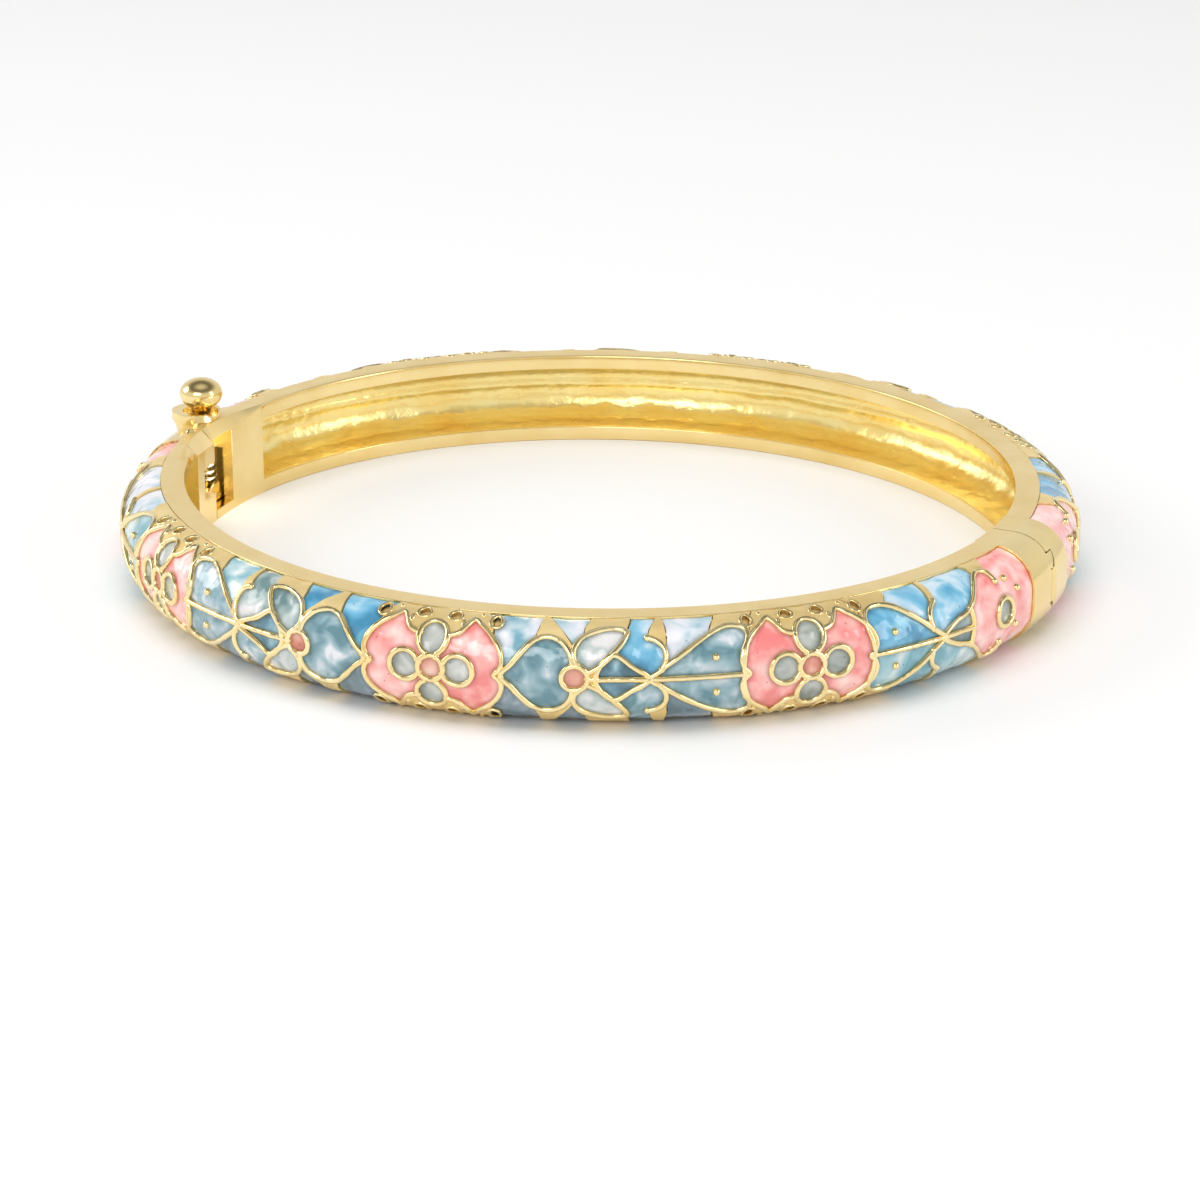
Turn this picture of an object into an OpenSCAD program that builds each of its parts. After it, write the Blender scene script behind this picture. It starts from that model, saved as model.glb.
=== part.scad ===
// Hinged enamel bangle: two cast half bands with a domed outside and a hollow inside,
// flowers and leaves in enamel between raised wires, a pin hinge and a push-pin clasp.
// It lies on its lower rim: z = 0, hinge towards +X, clasp towards -X.

/* [Band] */
// Inside of the band from hinge to clasp
inner_l = 60; // [58:0.5:64]
// How much longer the inside is than wide
oval = 2.64; // [2.4:0.12:2.88]
// Height of the band
band_h = 7; // [6.8:0.1:7.4]
// Width of the flat rim before the dome starts
rim_w = 1.6; // [1.5:0.1:1.8]
// Radius of the dome's shoulders
dome_r = 3; // [2.9:0.05:3.1]
// Height of the strips above and below the hollow
strip_h = 1.1; // [1:0.05:1.3]
// Thickness of the wall behind the hollow, to the top of the rim
wall = 1.05; // [1:0.05:1.2]
// Depth of the sunk field that holds the enamel
field_d = 0.4; // [0.38:0.02:0.44]

/* [Enamel] */
// Gap under the enamel and the wires
bed_gap = 0.12; // [0.08:0.01:0.12]
// Drop of the enamel's face below the rim
enamel_drop = 0.05; // [0.03:0.01:0.08]
// Height of the wires over the rim
wire_proud = 0.1; // [0.02:0.01:0.1]
// Width of a wire at its foot
wire_w = 0.36; // [0.3:0.02:0.4]

/* [Hinge] */
// Distance of the hinge pin from the inside of the band
hinge_t = 3.6; // [3.5:0.05:3.7]
// Radius of the hinge knuckles
knuckle_r = 0.85; // [0.8:0.05:0.9]
// Radius of the hinge pin
hinge_pin_r = 0.4; // [0.35:0.05:0.45]
// Angle that the ends are bevelled by beyond the pin
bevel = 26; // [25:1:30]

/* [Clasp] */
// Angle from the band's long axis to the clasp seam
seam_a = 9.2; // [9:0.1:9.4]
// Distance of the push pin from the inside of the band
pin_t = 2.35; // [2.3:0.05:2.4]
// Angle from the band's long axis to the push pin
pin_a = 3.55; // [3.5:0.05:3.6]
// Radius of the ball on the push pin
ball_r = 1.6; // [1.5:0.05:1.65]
// Radius of the push pin's stem in the upper wall
stem_r = 0.7; // [0.65:0.05:0.75]
// Radius of the push pin's foot
foot_r = 0.45; // [0.4:0.05:0.45]
// Mean radius of the spring's turns
spring_r = 0.84; // [0.82:0.01:0.85]
// Thickness of the spring's wire
spring_d = 0.36; // [0.34:0.02:0.38]

/* [Hidden] */

// The oval is four arcs: two ends round [+-end_x, 0] and two sides round [0, +-side_y],
// which meet smoothly at end_a. Their centres stand 55 to 48 from the middle.
end_x = oval * 55 / 60;
side_y = oval * 48 / 60;
end_r = inner_l / 2 - end_x;
side_r = end_r + oval * 73 / 60;
end_a = 41.112;
side_a = 90 - end_a;
thick = rim_w + dome_r;
mid_z = band_h / 2;
flat_h = band_h / 2 - dome_r;
// Angle on the shoulders where the sunk field ends and the plain rim starts
field_a = 88;
seam_gap = 0.05;
gap_a = seam_gap / end_r * 180 / PI;
sweep_fn = 240;
round_fn = 64;
over = 1;

// Plain ends, as angles along the end arcs: at the hinge, at the front of the clasp and behind it
hinge_plain_a = 6;
front_plain_a = 5.4;
back_plain_a = 2.5;
// Solid blocks behind the plain ends
front_block_a = 7.9;
back_block_a = 5.8;

gold = [0.93, 0.79, 0.47];
pink = [0.95, 0.56, 0.56];
blue = [0.45, 0.68, 0.78];
grey = [0.66, 0.72, 0.69];
coral = [0.87, 0.55, 0.45];

// Section of the dome with its outside drawn in by d: x is the distance out from the inside
// of the band, y is the height
module dome(d = 0) {
    translate([0, d]) square([rim_w, band_h - 2 * d]);
    translate([0, dome_r]) square([thick - d, 2 * flat_h]);
    for (z = [dome_r, band_h - dome_r])
        intersection() {
            translate([rim_w, z]) circle(r = dome_r - d, $fn = sweep_fn);
            translate([rim_w, 0]) square([dome_r, band_h]);
        }
}

// The part of a section above and below the enamel field
module rims() {
    reach = 6;
    for (flip = [0, 1])
        translate([0, flip * band_h]) mirror([0, flip])
            polygon([
                [-over, -over], [-over, dome_r], [rim_w, dome_r],
                [rim_w + reach * cos(field_a), dome_r - reach * sin(field_a)]
            ]);
}

module hollow() {
    difference() {
        dome(wall);
        translate([-over, -over]) square([over + rim_w, over + strip_h]);
        translate([-over, band_h - strip_h]) square([over + rim_w, over + strip_h]);
    }
    translate([-over, strip_h]) square([over + rim_w, band_h - 2 * strip_h]);
}

// kind: 0 = plain and solid, 1 = solid with a sunk field, 2 = hollow with a sunk field
module section(kind) {
    difference() {
        if (kind == 0) {
            dome();
        } else {
            union() {
                dome(field_d);
                intersection() {
                    dome();
                    rims();
                }
            }
        }
        if (kind == 2)
            hollow();
    }
}

// Sweeps a section along an arc of radius r round [x, y], between two angles
module arc_sweep(x, y, r, from, to) {
    translate([x, y, 0])
        rotate_extrude(angle = to - from, start = from, $fn = sweep_fn)
            translate([r, 0]) children();
}

module hinge_end(from, to) {
    arc_sweep(end_x, 0, end_r, from, to) children();
}

module clasp_end(from, to) {
    arc_sweep(-end_x, 0, end_r, from, to) children();
}

// A block that follows the band near the clasp: from t0 to t1 outwards, z0 to z1 high
module clasp_block(from, to, t0, t1, z0, z1) {
    clasp_end(from, to) translate([t0, z0]) square([t1 - t0, z1 - z0]);
}

// Hinge: heights of the middle knuckle and of the outer knuckles
knuckle_z = [2.3, 4.7];
outer_z = [1.2, 5.8];
knuckle_gap = 0.08;
level_gap = 0.05;

module at_hinge() {
    translate([inner_l / 2 + hinge_t, 0, 0]) children();
}

module knuckle(r, z0, z1) {
    at_hinge() translate([0, 0, z0]) cylinder(r = r, h = z1 - z0, $fn = round_fn);
}

// The open V beyond the hinge pin
module hinge_bevel() {
    reach = 4;
    at_hinge() translate([0, 0, -over]) linear_extrude(band_h + 2 * over)
        polygon([[0, 0], [reach, -reach * tan(bevel)], [reach, reach * tan(bevel)]]);
}

// Clasp: the push pin stands in the back half, just behind the seam
pin_x = -end_x - (end_r + pin_t) * cos(pin_a);
pin_y = -(end_r + pin_t) * sin(pin_a);
// Levels in the clasp: floor, shelf under the spring, roof over the flange, rim of the cup
floor_z = 0.7;
shelf_z = [1.35, 1.6];
roof_z = 4.7;
collar_z = 7.55;
run_gap = 0.05;
room_t = [0.8, 3.6];

module at_pin() {
    translate([pin_x, pin_y, 0]) children();
}

module back_half() {
    color(gold) difference() {
        union() {
            difference() {
                union() {
                    hinge_end(gap_a, hinge_plain_a) section(0);
                    hinge_end(hinge_plain_a, end_a) section(2);
                    arc_sweep(0, -side_y, side_r, end_a, 180 - end_a) section(2);
                    clasp_end(180 - end_a, 180 - back_block_a) section(2);
                    clasp_end(180 - back_block_a, 180 - back_plain_a) section(1);
                    clasp_end(180 - back_plain_a, 180 + seam_a - gap_a) section(0);
                    collar();
                }
                clasp_chamfer();
                hinge_bevel();
                knuckle(knuckle_r + knuckle_gap, outer_z[0] - level_gap, knuckle_z[0] - level_gap);
                knuckle(knuckle_r + knuckle_gap, knuckle_z[1] + level_gap, outer_z[1] + level_gap);
            }
            knuckle(knuckle_r, knuckle_z[0], knuckle_z[1]);
        }
        knuckle(hinge_pin_r + 0.02, -over, knuckle_z[1] + over);
        back_clasp_room();
    }
}

// The cup round the push pin, soldered on the shoulder: it narrows towards its foot, and its
// wall is thicker outwards
module collar() {
    collar_r = 1.83;
    foot_r_low = 1.48;
    offset_out = 0.49;
    foot_z = 5.4;
    rim_z = 6.95;
    translate([pin_x - offset_out, pin_y, 0]) rotate_extrude($fn = round_fn)
        polygon([[0, foot_z], [foot_r_low, foot_z], [foot_r_low, 5.9], [1.58, 6.45],
                 [collar_r, rim_z], [collar_r, collar_z], [0, collar_z]]);
}

// The inner edge of the upper rim is bevelled beside the clasp, deepest at the seam
module clasp_chamfer() {
    chamfer_r = 15;
    depth = 1;
    low = 1.6;
    translate([-end_x, 0, 0]) rotate([0, 0, 180 + seam_a])
        translate([end_r + depth - chamfer_r, 0, band_h - low])
            cylinder(r1 = chamfer_r - low, r2 = chamfer_r + over, h = low + over, $fn = 150);
}

module back_clasp_room() {
    cup_r = 1.32;
    cup_out = 0.12;
    window_a = 3.1;
    window_top = 6.2;
    room_a = 0.8;
    // room for the spring and the hook, open to the seam
    clasp_block(180 + room_a, 180 + seam_a + 1, room_t[0], room_t[1], floor_z, shelf_z[0]);
    clasp_block(180 + room_a, 180 + seam_a + 1, room_t[0], room_t[1], shelf_z[1], roof_z);
    // window in the inner wall
    clasp_block(180 + window_a, 180 + seam_a + 1, -over, 0.9, floor_z, window_top);
    clasp_block(180 + window_a, 180 + seam_a + 1, 0.5, 1.4, roof_z - 0.1, window_top);
    // the shelf only reaches a little past the pin, and stops short of the hook's nose
    clasp_block(180 + pin_a + 3, 180 + seam_a + 1, 0, room_t[1], floor_z, roof_z);
    clasp_block(180 + room_a, 180 + seam_a + 1, room_t[0], 1.35, floor_z, roof_z);
    at_pin() {
        translate([0, 0, 0.3]) cylinder(r = foot_r + run_gap, h = roof_z, $fn = round_fn);
        translate([0, 0, roof_z - 0.1]) cylinder(r = stem_r + run_gap, h = band_h, $fn = round_fn);
        translate([-cup_out, 0, band_h]) cylinder(r = cup_r, h = over, $fn = round_fn);
    }
}

module front_half() {
    knob_a = 10.4;
    knob_t = 1.62;
    knob_z = 6.72;
    window_a = 13.9;
    window_z = [2.2, 4.6];
    color(gold) difference() {
        union() {
            difference() {
                union() {
                    hinge_end(-hinge_plain_a, -gap_a) section(0);
                    hinge_end(-end_a, -hinge_plain_a) section(2);
                    arc_sweep(0, side_y, side_r, 180 + end_a, 360 - end_a) section(2);
                    clasp_end(180 + seam_a + front_block_a, 180 + end_a) section(2);
                    clasp_end(180 + seam_a + front_plain_a, 180 + seam_a + front_block_a) section(1);
                    clasp_end(180 + seam_a + gap_a, 180 + seam_a + front_plain_a) section(0);
                }
                clasp_chamfer();
                hinge_bevel();
                knuckle(knuckle_r + knuckle_gap, knuckle_z[0] - level_gap, knuckle_z[1] + level_gap);
            }
            intersection() {
                union() {
                    knuckle(knuckle_r, outer_z[0], knuckle_z[0] - 2 * level_gap);
                    knuckle(knuckle_r, knuckle_z[1] + 2 * level_gap, outer_z[1]);
                }
                hinge_end(-6, 6) dome();
            }
            // small knob beside the cup
            translate([-end_x, 0, knob_z]) rotate([0, 0, 180 + knob_a])
                translate([end_r + knob_t, 0, 0]) sphere(r = 0.5, $fn = round_fn);
        }
        knuckle(hinge_pin_r + 0.04, -over, 5.7);
        clasp_block(180 + seam_a - 1, 180 + window_a, -over, 2.7, window_z[0], window_z[1]);
        // slot that holds the root of the hook
        clasp_block(180 + seam_a - 1, 180 + hook_root_a + 0.06,
            hook_t[0] - 0.03, hook_t[1] + 0.03, hook_z[0] - 0.03, hook_z[1] + 0.03);
    }
}

module hinge_pin() {
    color(gold) knuckle(hinge_pin_r, 1.25, 5.6);
}

// Half of the ball's outline, flatter above than below
ball_z = 8.9;
ball_top = 1.15;
ball_low = 1.25;
neck_a = acos(stem_r / ball_r);

module push_pin() {
    flange_r = 1.02;
    flange_z = 4.15;
    foot_z = 0.82;
    step = 6;
    color(gold) at_pin() rotate_extrude($fn = round_fn) polygon(concat(
        [[0, foot_z], [foot_r, foot_z], [foot_r, flange_z], [flange_r, flange_z],
         [flange_r, roof_z - 0.07], [stem_r, roof_z - 0.07]],
        [for (a = [-neck_a:step:0]) [ball_r * cos(a), ball_z + ball_low * sin(a)]],
        [for (a = [0:step:90]) [ball_r * cos(a), ball_z + ball_top * sin(a)]]
    ));
}

// Coil of the spring, between the shelf and the push pin's flange
module clasp_spring() {
    turns = 4;
    sides = 6;
    steps = 12;
    low = shelf_z[1] + 0.03 + spring_d / 2;
    high = 4.12 - spring_d / 2;
    n = turns * steps;
    rings = [for (i = [0:n]) let (a = 360 * i / steps, z = low + (high - low) * i / n)
        [for (k = [0:sides - 1]) let (b = 360 * k / sides, r = spring_r + spring_d / 2 * cos(b))
            [r * cos(a), r * sin(a), z + spring_d / 2 * sin(b)]]];
    color("gainsboro") at_pin() tube(rings, false);
}

// Forked hook of the front half: its prongs reach past both sides of the push pin's foot,
// and its nose stands in the window
hook_z = [0.78, 1.25];
hook_t = [0.96, 3.3];
hook_root_a = 15.1;

module catch_hook() {
    slot = foot_r + 0.12;
    tip_a = 1.5;
    nose = 0.31;
    nose_long = 2.9;
    nose_mid_a = 6;
    color(gold) difference() {
        union() {
            clasp_block(180 + tip_a, 180 + hook_root_a, hook_t[0], hook_t[1], hook_z[0], hook_z[1]);
            translate([-end_x, 0, 0]) rotate([0, 0, 180 + nose_mid_a])
                translate([end_r + hook_t[0] + nose, nose_long / 2, 0]) rotate([90, 0, -90])
                    linear_extrude(nose) polygon([
                        [0, hook_z[0] + 0.1], [nose_long, hook_z[0] + 0.1], [nose_long + 0.2, 1.5],
                        [nose_long, 2], [nose_long - 0.5, 2.2], [nose_long - 1, 2.1], [0, 1.5]
                    ]);
        }
        at_pin() translate([0, 0, hook_z[0] - over]) {
            cylinder(r = slot, h = hook_z[1] - hook_z[0] + 2 * over, $fn = round_fn);
            translate([-slot, 0, 0]) cube([2 * slot, 4, hook_z[1] - hook_z[0] + 2 * over]);
        }
    }
}

// Points on the band: s runs along the front half from its middle, positive to the hinge;
// w runs up from mid height over the dome; d is the depth below the rim's surface. The
// pattern sits a little above mid height: lift turns a charted height into w.
lift = [[-5.2, -5.2], [-3.5, -2.8], [-1.5, -1.02], [0, 0.31], [3.5, 3.9], [5.2, 5.2]];
function dome_a(w) = max(abs(w) - flat_h, 0) / dome_r * 180 / PI;
function out(w, d) = rim_w + (dome_r - d) * cos(dome_a(w));
function high(w, d) = mid_z + sign(w) * (min(abs(w), flat_h) + (dome_r - d) * sin(dome_a(w)));
side_s = (side_r + thick) * side_a * PI / 180;
function turn(s) = abs(s) < side_s
    ? abs(s) / (side_r + thick) * 180 / PI
    : side_a + (abs(s) - side_s) / (end_r + thick) * 180 / PI;
function on_band(s, charted, d) = let (
    w = lookup(charted, lift), a = turn(s), t = out(w, d), side = abs(s) < side_s
) [
    sign(s) * ((side ? side_r + t : end_r + t) * sin(a) + (side ? 0 : end_x)),
    (side ? side_y : 0) - (side ? side_r + t : end_r + t) * cos(a),
    high(w, d)
];

// Skin round a list of rings of points: rings are joined in turn, and the ends are closed
// unless the list is a loop
module tube(rings, loop) {
    k = len(rings[0]);
    n = len(rings);
    last = loop ? n - 1 : n - 2;
    polyhedron(
        points = [for (ring = rings) for (p = ring) p],
        faces = concat(
            [for (i = [0:last]) for (j = [0:k - 1])
                let (a = i * k, b = ((i + 1) % n) * k, m = (j + 1) % k) [a + j, b + j, b + m]],
            [for (i = [0:last]) for (j = [0:k - 1])
                let (a = i * k, b = ((i + 1) % n) * k, m = (j + 1) % k) [a + j, b + m, a + m]],
            loop ? [] : [[for (j = [0:k - 1]) j], [for (j = [k - 1:-1:0]) (n - 1) * k + j]]
        )
    );
}

function unit(v) = v / norm(v);

// A wire laid on the field along points [s, w]: a ridge with a rounded foot
module wire(path, loop = false) {
    n = len(path);
    foot = wire_w / 2;
    low = field_d - bed_gap;
    tube([for (i = [0:n - 1]) let (
        before = path[loop ? (i + n - 1) % n : max(i - 1, 0)],
        after = path[loop ? (i + 1) % n : min(i + 1, n - 1)],
        side = unit([before[1] - after[1], after[0] - before[0]]) * foot,
        p = path[i]
    ) [
        on_band(p[0] + side[0], p[1] + side[1], low),
        on_band(p[0], p[1], -wire_proud),
        on_band(p[0] - side[0], p[1] - side[1], low)
    ]], loop);
}

// A cell of enamel from rows [w, left, right]: cols is the number of points across a row
module cell(rows, cols, top) {
    n = len(rows);
    low = field_d - bed_gap;
    function spot(i, j) = rows[i][1] + (rows[i][2] - rows[i][1]) * j / (cols - 1);
    edge = concat(
        [for (j = [0:cols - 2]) [0, j]], [for (i = [0:n - 2]) [i, cols - 1]],
        [for (j = [cols - 1:-1:1]) [n - 1, j]], [for (i = [n - 1:-1:1]) [i, 0]]
    );
    m = len(edge);
    under = n * cols;
    polyhedron(
        points = concat(
            [for (i = [0:n - 1]) for (j = [0:cols - 1]) on_band(spot(i, j), rows[i][0], top)],
            [for (i = [0:n - 1]) for (j = [0:cols - 1]) on_band(spot(i, j), rows[i][0], low)]
        ),
        faces = concat(
            [for (i = [0:n - 2]) for (j = [0:cols - 2]) let (a = i * cols + j)
                each [[a, a + cols, a + cols + 1], [a, a + cols + 1, a + 1]]],
            [for (i = [0:n - 2]) for (j = [0:cols - 2]) let (a = under + i * cols + j)
                each [[a, a + cols + 1, a + cols], [a, a + 1, a + cols + 1]]],
            [for (e = [0:m - 1]) let (
                a = edge[e][0] * cols + edge[e][1],
                f = edge[(e + 1) % m],
                b = f[0] * cols + f[1]
            ) each [[a, b, under + b], [a, under + b, under + a]]]
        )
    );
}

// The pattern is charted in millimetres from a blossom's middle: u along the band, w up
// from mid height. A place is [s of the blossom, direction, table], and the table turns u
// into the distance along the band.
plain = [[0, 0], [5, 5]];
front_spray_r = [[0, 0], [4.5, 4.5], [9.5, 9.5], [14.4, 14.3], [20.4, 20.4], [25, 25.1]];
front_spray_l = [
    [0, 0], [4.5, 4.5], [9.5, 10], [12.1, 12.6], [13.6, 14.1], [14.4, 15.5], [15.45, 16],
    [18.7, 19.2], [20.4, 21.3], [25, 25.9]
];
front_short_r = [[0, 0], [4.5, 4.5], [20.6, 20.6]];
front_short_l = [[0, 0], [4.5, 4.5], [20.6, 23.55]];
back_spray = [[0, 0], [4.5, 4.5], [9.5, 10.1], [14.4, 15.9], [20.4, 22.9], [25, 27.9]];
back_short = [[0, 0], [4.5, 4.5], [20.6, 22.9]];
front_blossoms = [-21.8, 4.1, 29.2];
back_blossoms = [-28.9, -1, 26.9];
front_sprays = [[4.1, 1, front_spray_r], [4.1, -1, front_spray_l]];
front_shorts = [[29.2, 1, front_short_r], [-21.8, -1, front_short_l]];
back_sprays = [[-1, 1, back_spray], [-1, -1, back_spray]];
back_shorts = [[26.9, 1, back_short], [-28.9, -1, back_short]];
function to_s(place, u) = place[0] + place[1] * (u < 0 ? u : lookup(u, place[2]));

// Wires as [u, w] points. A curve that starts or ends at mid height goes on below it.
blossom_wires = [
    [[4.28, 0], [4.62, 0.35], [4.78, 0.9], [4.6, 1.6], [4.2, 2.25], [3.75, 2.75], [3.1, 3.35],
     [2.6, 3.85], [2.2, 3.3], [1.75, 2.6], [1.02, 2.3]]
];
spray_wires = [
    [[4.72, 0], [5.4, 0.8], [6.1, 1.7], [6.8, 2.45], [7.7, 2.75], [8.6, 2.4], [9.2, 1.6], [9.35, 0.9]],
    [[9.8, 0.82], [9.45, 1.3], [9.45, 2], [10, 2.8], [11.1, 3.35], [12.2, 3.5], [12.95, 3.2],
     [12.7, 2.5], [12.1, 1.75], [11.2, 0.9], [10.3, 0.4]],
    [[10.85, 0], [11.2, 0.9], [12.1, 1.6], [13.2, 0.9], [14.4, 0]],
    [[14.4, 0], [15.15, 0.6], [15.45, 1.3], [15.35, 2], [14.9, 2.5], [14.3, 2.75]],
    [[15.15, 0.6], [16.9, 1.85], [18.4, 2.85], [19.6, 3.4], [20.6, 3.2], [20.9, 2.6], [20.6, 1.6],
     [20.45, 0.8], [20.45, 0]]
];
spray_mids = [[10.3, 14.4], [14.4, 20.5]];
short_wires = [
    [[4.6, 0], [4.5, 0.9], [4.3, 1.8], [4.3, 2.6], [4.8, 3.2], [5.7, 3.35], [6.7, 3], [8, 2],
     [9.45, 0.8], [10.4, 0]],
    [[9.45, 0.75], [9.35, 1.5], [9.6, 2.1], [10.15, 2.6]],
    [[10.4, 0], [11.5, 0.8], [12.8, 1.2], [13.6, 1.8], [14.3, 2.6], [15, 3.3], [15.75, 3.55],
     [16.35, 3.2], [16.55, 2.4]],
    [[13.3, 0], [13.25, 0.6], [13.1, 1.35]]
];
short_mids = [[4.6, 13.3]];
// Rings of wire: [u, w, radius along, radius across]
blossom_rings = [[0, 0, 0.88, 0.88]];
spray_rings = [[9.5, 0, 0.86, 0.86]];
short_rings = [[16.9, 0, 1.1, 1.1]];
// Petals: the same, open towards the blossom's middle
side_petal = [1.82, 0, 1.04, 1.06];
top_petal = [0, 2.1, 1.02, 1.2];

// Cells as rows of [w, left u, right u]. A cell that starts at w = 0 goes on below it, and
// the others come in pairs.
blossom_cells = [
    [[0, 3.15, 3.98], [0.75, 3.05, 4.27], [1.2, 2.75, 4.15], [1.42, 1.45, 4.12], [2.05, 1.4, 3.95],
     [2.5, 2.05, 3.62], [3.3, 2.58, 2.75]]
];
leaf_cells = [
    [[0, 5.1, 8.35], [0.7, 5.7, 8.4], [1.5, 6.3, 8.9], [2, 6.8, 8.5], [2.3, 7.2, 8.1]]
];
wing_cells = [
    [[0.27, 15.25, 20.05], [1, 16.1, 19.95], [1.8, 17.25, 20.15], [2.6, 18.45, 20.6], [3, 19.3, 20.35]]
];
kite_cells = [
    [[0.27, 11.25, 13.55], [0.7, 11.45, 13], [1.1, 11.85, 12.35]]
];
petal_cells = [
    [[0.98, 10, 10.75], [1.6, 9.78, 11.55], [2.3, 10, 12.25], [2.75, 10.45, 12.55], [3.05, 11.1, 12.5]]
];
spray_ground = [
    [[1.15, 5.08, 5.3], [2, 4.65, 6.05], [3, 4, 6.75], [3.7, 3.85, 6.9], [4.4, 3.55, 7], [5, 3.35, 7.1]],
    [[2.6, 9.2, 9.5], [3.2, 8.85, 9.75], [3.9, 8.4, 10.1], [4.5, 8.1, 10.3], [5, 7.85, 10.4]],
    [[0.75, 13.85, 14.7], [1.3, 13.05, 15.1], [2, 12.8, 15], [2.6, 13.2, 14.02], [3.8, 13.3, 14.4],
     [5, 13.4, 14.8]],
    [[1.7, 15.8, 16.2], [2.7, 15.75, 17.5], [3.4, 15.7, 18.2], [4.2, 15.62, 18.65], [5, 15.55, 18.9]]
];
short_wing_cells = [
    [[0.27, 5, 9.6], [0.9, 5.05, 8.95], [1.7, 4.85, 7.95], [2.5, 4.7, 6.92], [2.93, 5.2, 6.15]]
];
short_kite_cells = [
    [[0.27, 11.2, 13], [0.5, 11.5, 13], [0.78, 12.2, 12.95]]
];
short_ground = [
    [[1.65, 8.9, 9.08], [2.5, 7.75, 9.4], [3.2, 7, 9.65], [4.4, 6.95, 9.8], [5, 7.05, 9.85]],
    [[0.75, 10.15, 10.7], [1.35, 9.78, 12.25], [2, 10.1, 13.35], [3, 10.65, 14.3],
     [4.4, 10.68, 14.75], [5, 10.72, 14.65]]
];
end_cells = [
    [[0, 13.6, 15.5], [0.9, 13.55, 15.85], [1.45, 13.65, 16.2], [2.5, 14.6, 16.25], [3.1, 15.25, 15.95]],
    [[0, 18.3, 20.35], [0.9, 17.95, 20.35], [1.5, 16.85, 20.35], [2.2, 16.9, 20.35], [3, 17, 20.35],
     [3.7, 17, 20.35], [4.4, 17.1, 20.35], [5, 17.3, 20.35]]
];
// Gold ground between the cells
blossom_gold = [
    [[3.65, 0.15, 1.75], [4.2, 0.15, 2.1], [5, 0.15, 3.1]]
];
spray_gold = [
    [[3.1, 7.05, 8.6], [4, 7.12, 8.05], [5, 7.28, 7.6]],
    [[3.85, 10.6, 13], [4.4, 10.6, 13.1], [5, 10.65, 13.15]],
    [[3.1, 14.45, 15.45], [4, 14.7, 15.4], [5, 15, 15.33]],
    [[3.8, 18.75, 21.2], [4.4, 18.85, 22], [5, 19.1, 22.1]]
];
short_gold = [
    [[2.95, 9.9, 10.4], [4, 10, 10.43], [5, 10.06, 10.48]],
    [[3.85, 15.1, 16.6], [4.4, 15, 16.8], [5, 14.92, 17]]
];

function flip_rows(rows) = [for (i = [len(rows) - 1:-1:0]) [-rows[i][0], rows[i][1], rows[i][2]]];
function whole_rows(rows) = concat(flip_rows([for (i = [1:len(rows) - 1]) rows[i]]), rows);
function placed_rows(rows, place) = [for (r = rows) let (a = to_s(place, r[1]), b = to_s(place, r[2]))
    [r[0], min(a, b), max(a, b)]];
function flip(path) = [for (p = path) [p[0], -p[1]]];
function back_to_front(path) = [for (i = [len(path) - 1:-1:0]) path[i]];
function inner(path) = [for (i = [1:len(path) - 2]) path[i]];
function tail(path) = [for (i = [1:len(path) - 1]) path[i]];
function placed(path, place) = [for (p = path) [to_s(place, p[0]), p[1]]];

// Cells of a list at a place, both above and below mid height
module cells(list, place, top = enamel_drop, cols = 2) {
    for (rows = list)
        if (rows[0][0] == 0) {
            cell(placed_rows(whole_rows(rows), place), cols, top);
        } else {
            cell(placed_rows(rows, place), cols, top);
            cell(placed_rows(flip_rows(rows), place), cols, top);
        }
}

module wires(list, place) {
    for (path = list) {
        starts = path[0][1] == 0;
        ends = path[len(path) - 1][1] == 0;
        if (starts && ends)
            wire(placed(concat(path, flip(back_to_front(inner(path)))), place), true);
        else if (starts)
            wire(placed(concat(flip(back_to_front(tail(path))), path), place));
        else if (ends)
            wire(placed(concat(path, flip(tail(back_to_front(path)))), place));
        else
            for (p = [path, flip(path)]) wire(placed(p, place));
    }
}

// Wires along mid height, from u to u
module mids(list, place) {
    for (m = list)
        wire([for (k = [0:2]) [to_s(place, m[0] + (m[1] - m[0]) * k / 2), 0]]);
}

function oval_point(r, place, a) = [to_s(place, r[0]) + r[2] * cos(a), r[1] + r[3] * sin(a)];

module ring(r, place) {
    sides = 8;
    wire([for (i = [0:sides - 1]) oval_point(r, place, 360 * i / sides)], true);
}

// A petal's wire and its cell: toward is the direction of the blossom's middle
module petal_wire(r, place, toward) {
    sides = 8;
    open = 22;
    wire([for (i = [0:sides]) oval_point(r, place, toward + open + (360 - 2 * open) * i / sides)]);
}

module ring_cell(r, place) {
    clear = wire_w / 2 + 0.14;
    small = [0, 0, r[2] - clear, r[3] - clear];
    s = to_s(place, r[0]);
    cell([for (k = [-75, -30, 30, 75]) [r[1] + small[3] * sin(k), s - small[2] * cos(k), s + small[2] * cos(k)]],
        2, enamel_drop);
}

module all_petals(s) {
    place = [s, 1, plain];
    for (way = [1, -1]) {
        side = [way * side_petal[0], side_petal[1], side_petal[2], side_petal[3]];
        up = [top_petal[0], way * top_petal[1], top_petal[2], top_petal[3]];
        petal_wire(side, place, way > 0 ? 180 : 0);
        petal_wire(up, place, way > 0 ? -90 : 90);
    }
}

module petal_enamel(s) {
    place = [s, 1, plain];
    for (way = [1, -1]) {
        ring_cell([way * side_petal[0], side_petal[1], side_petal[2], side_petal[3]], place);
        ring_cell([top_petal[0], way * top_petal[1], top_petal[2], top_petal[3]], place);
    }
}

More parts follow.
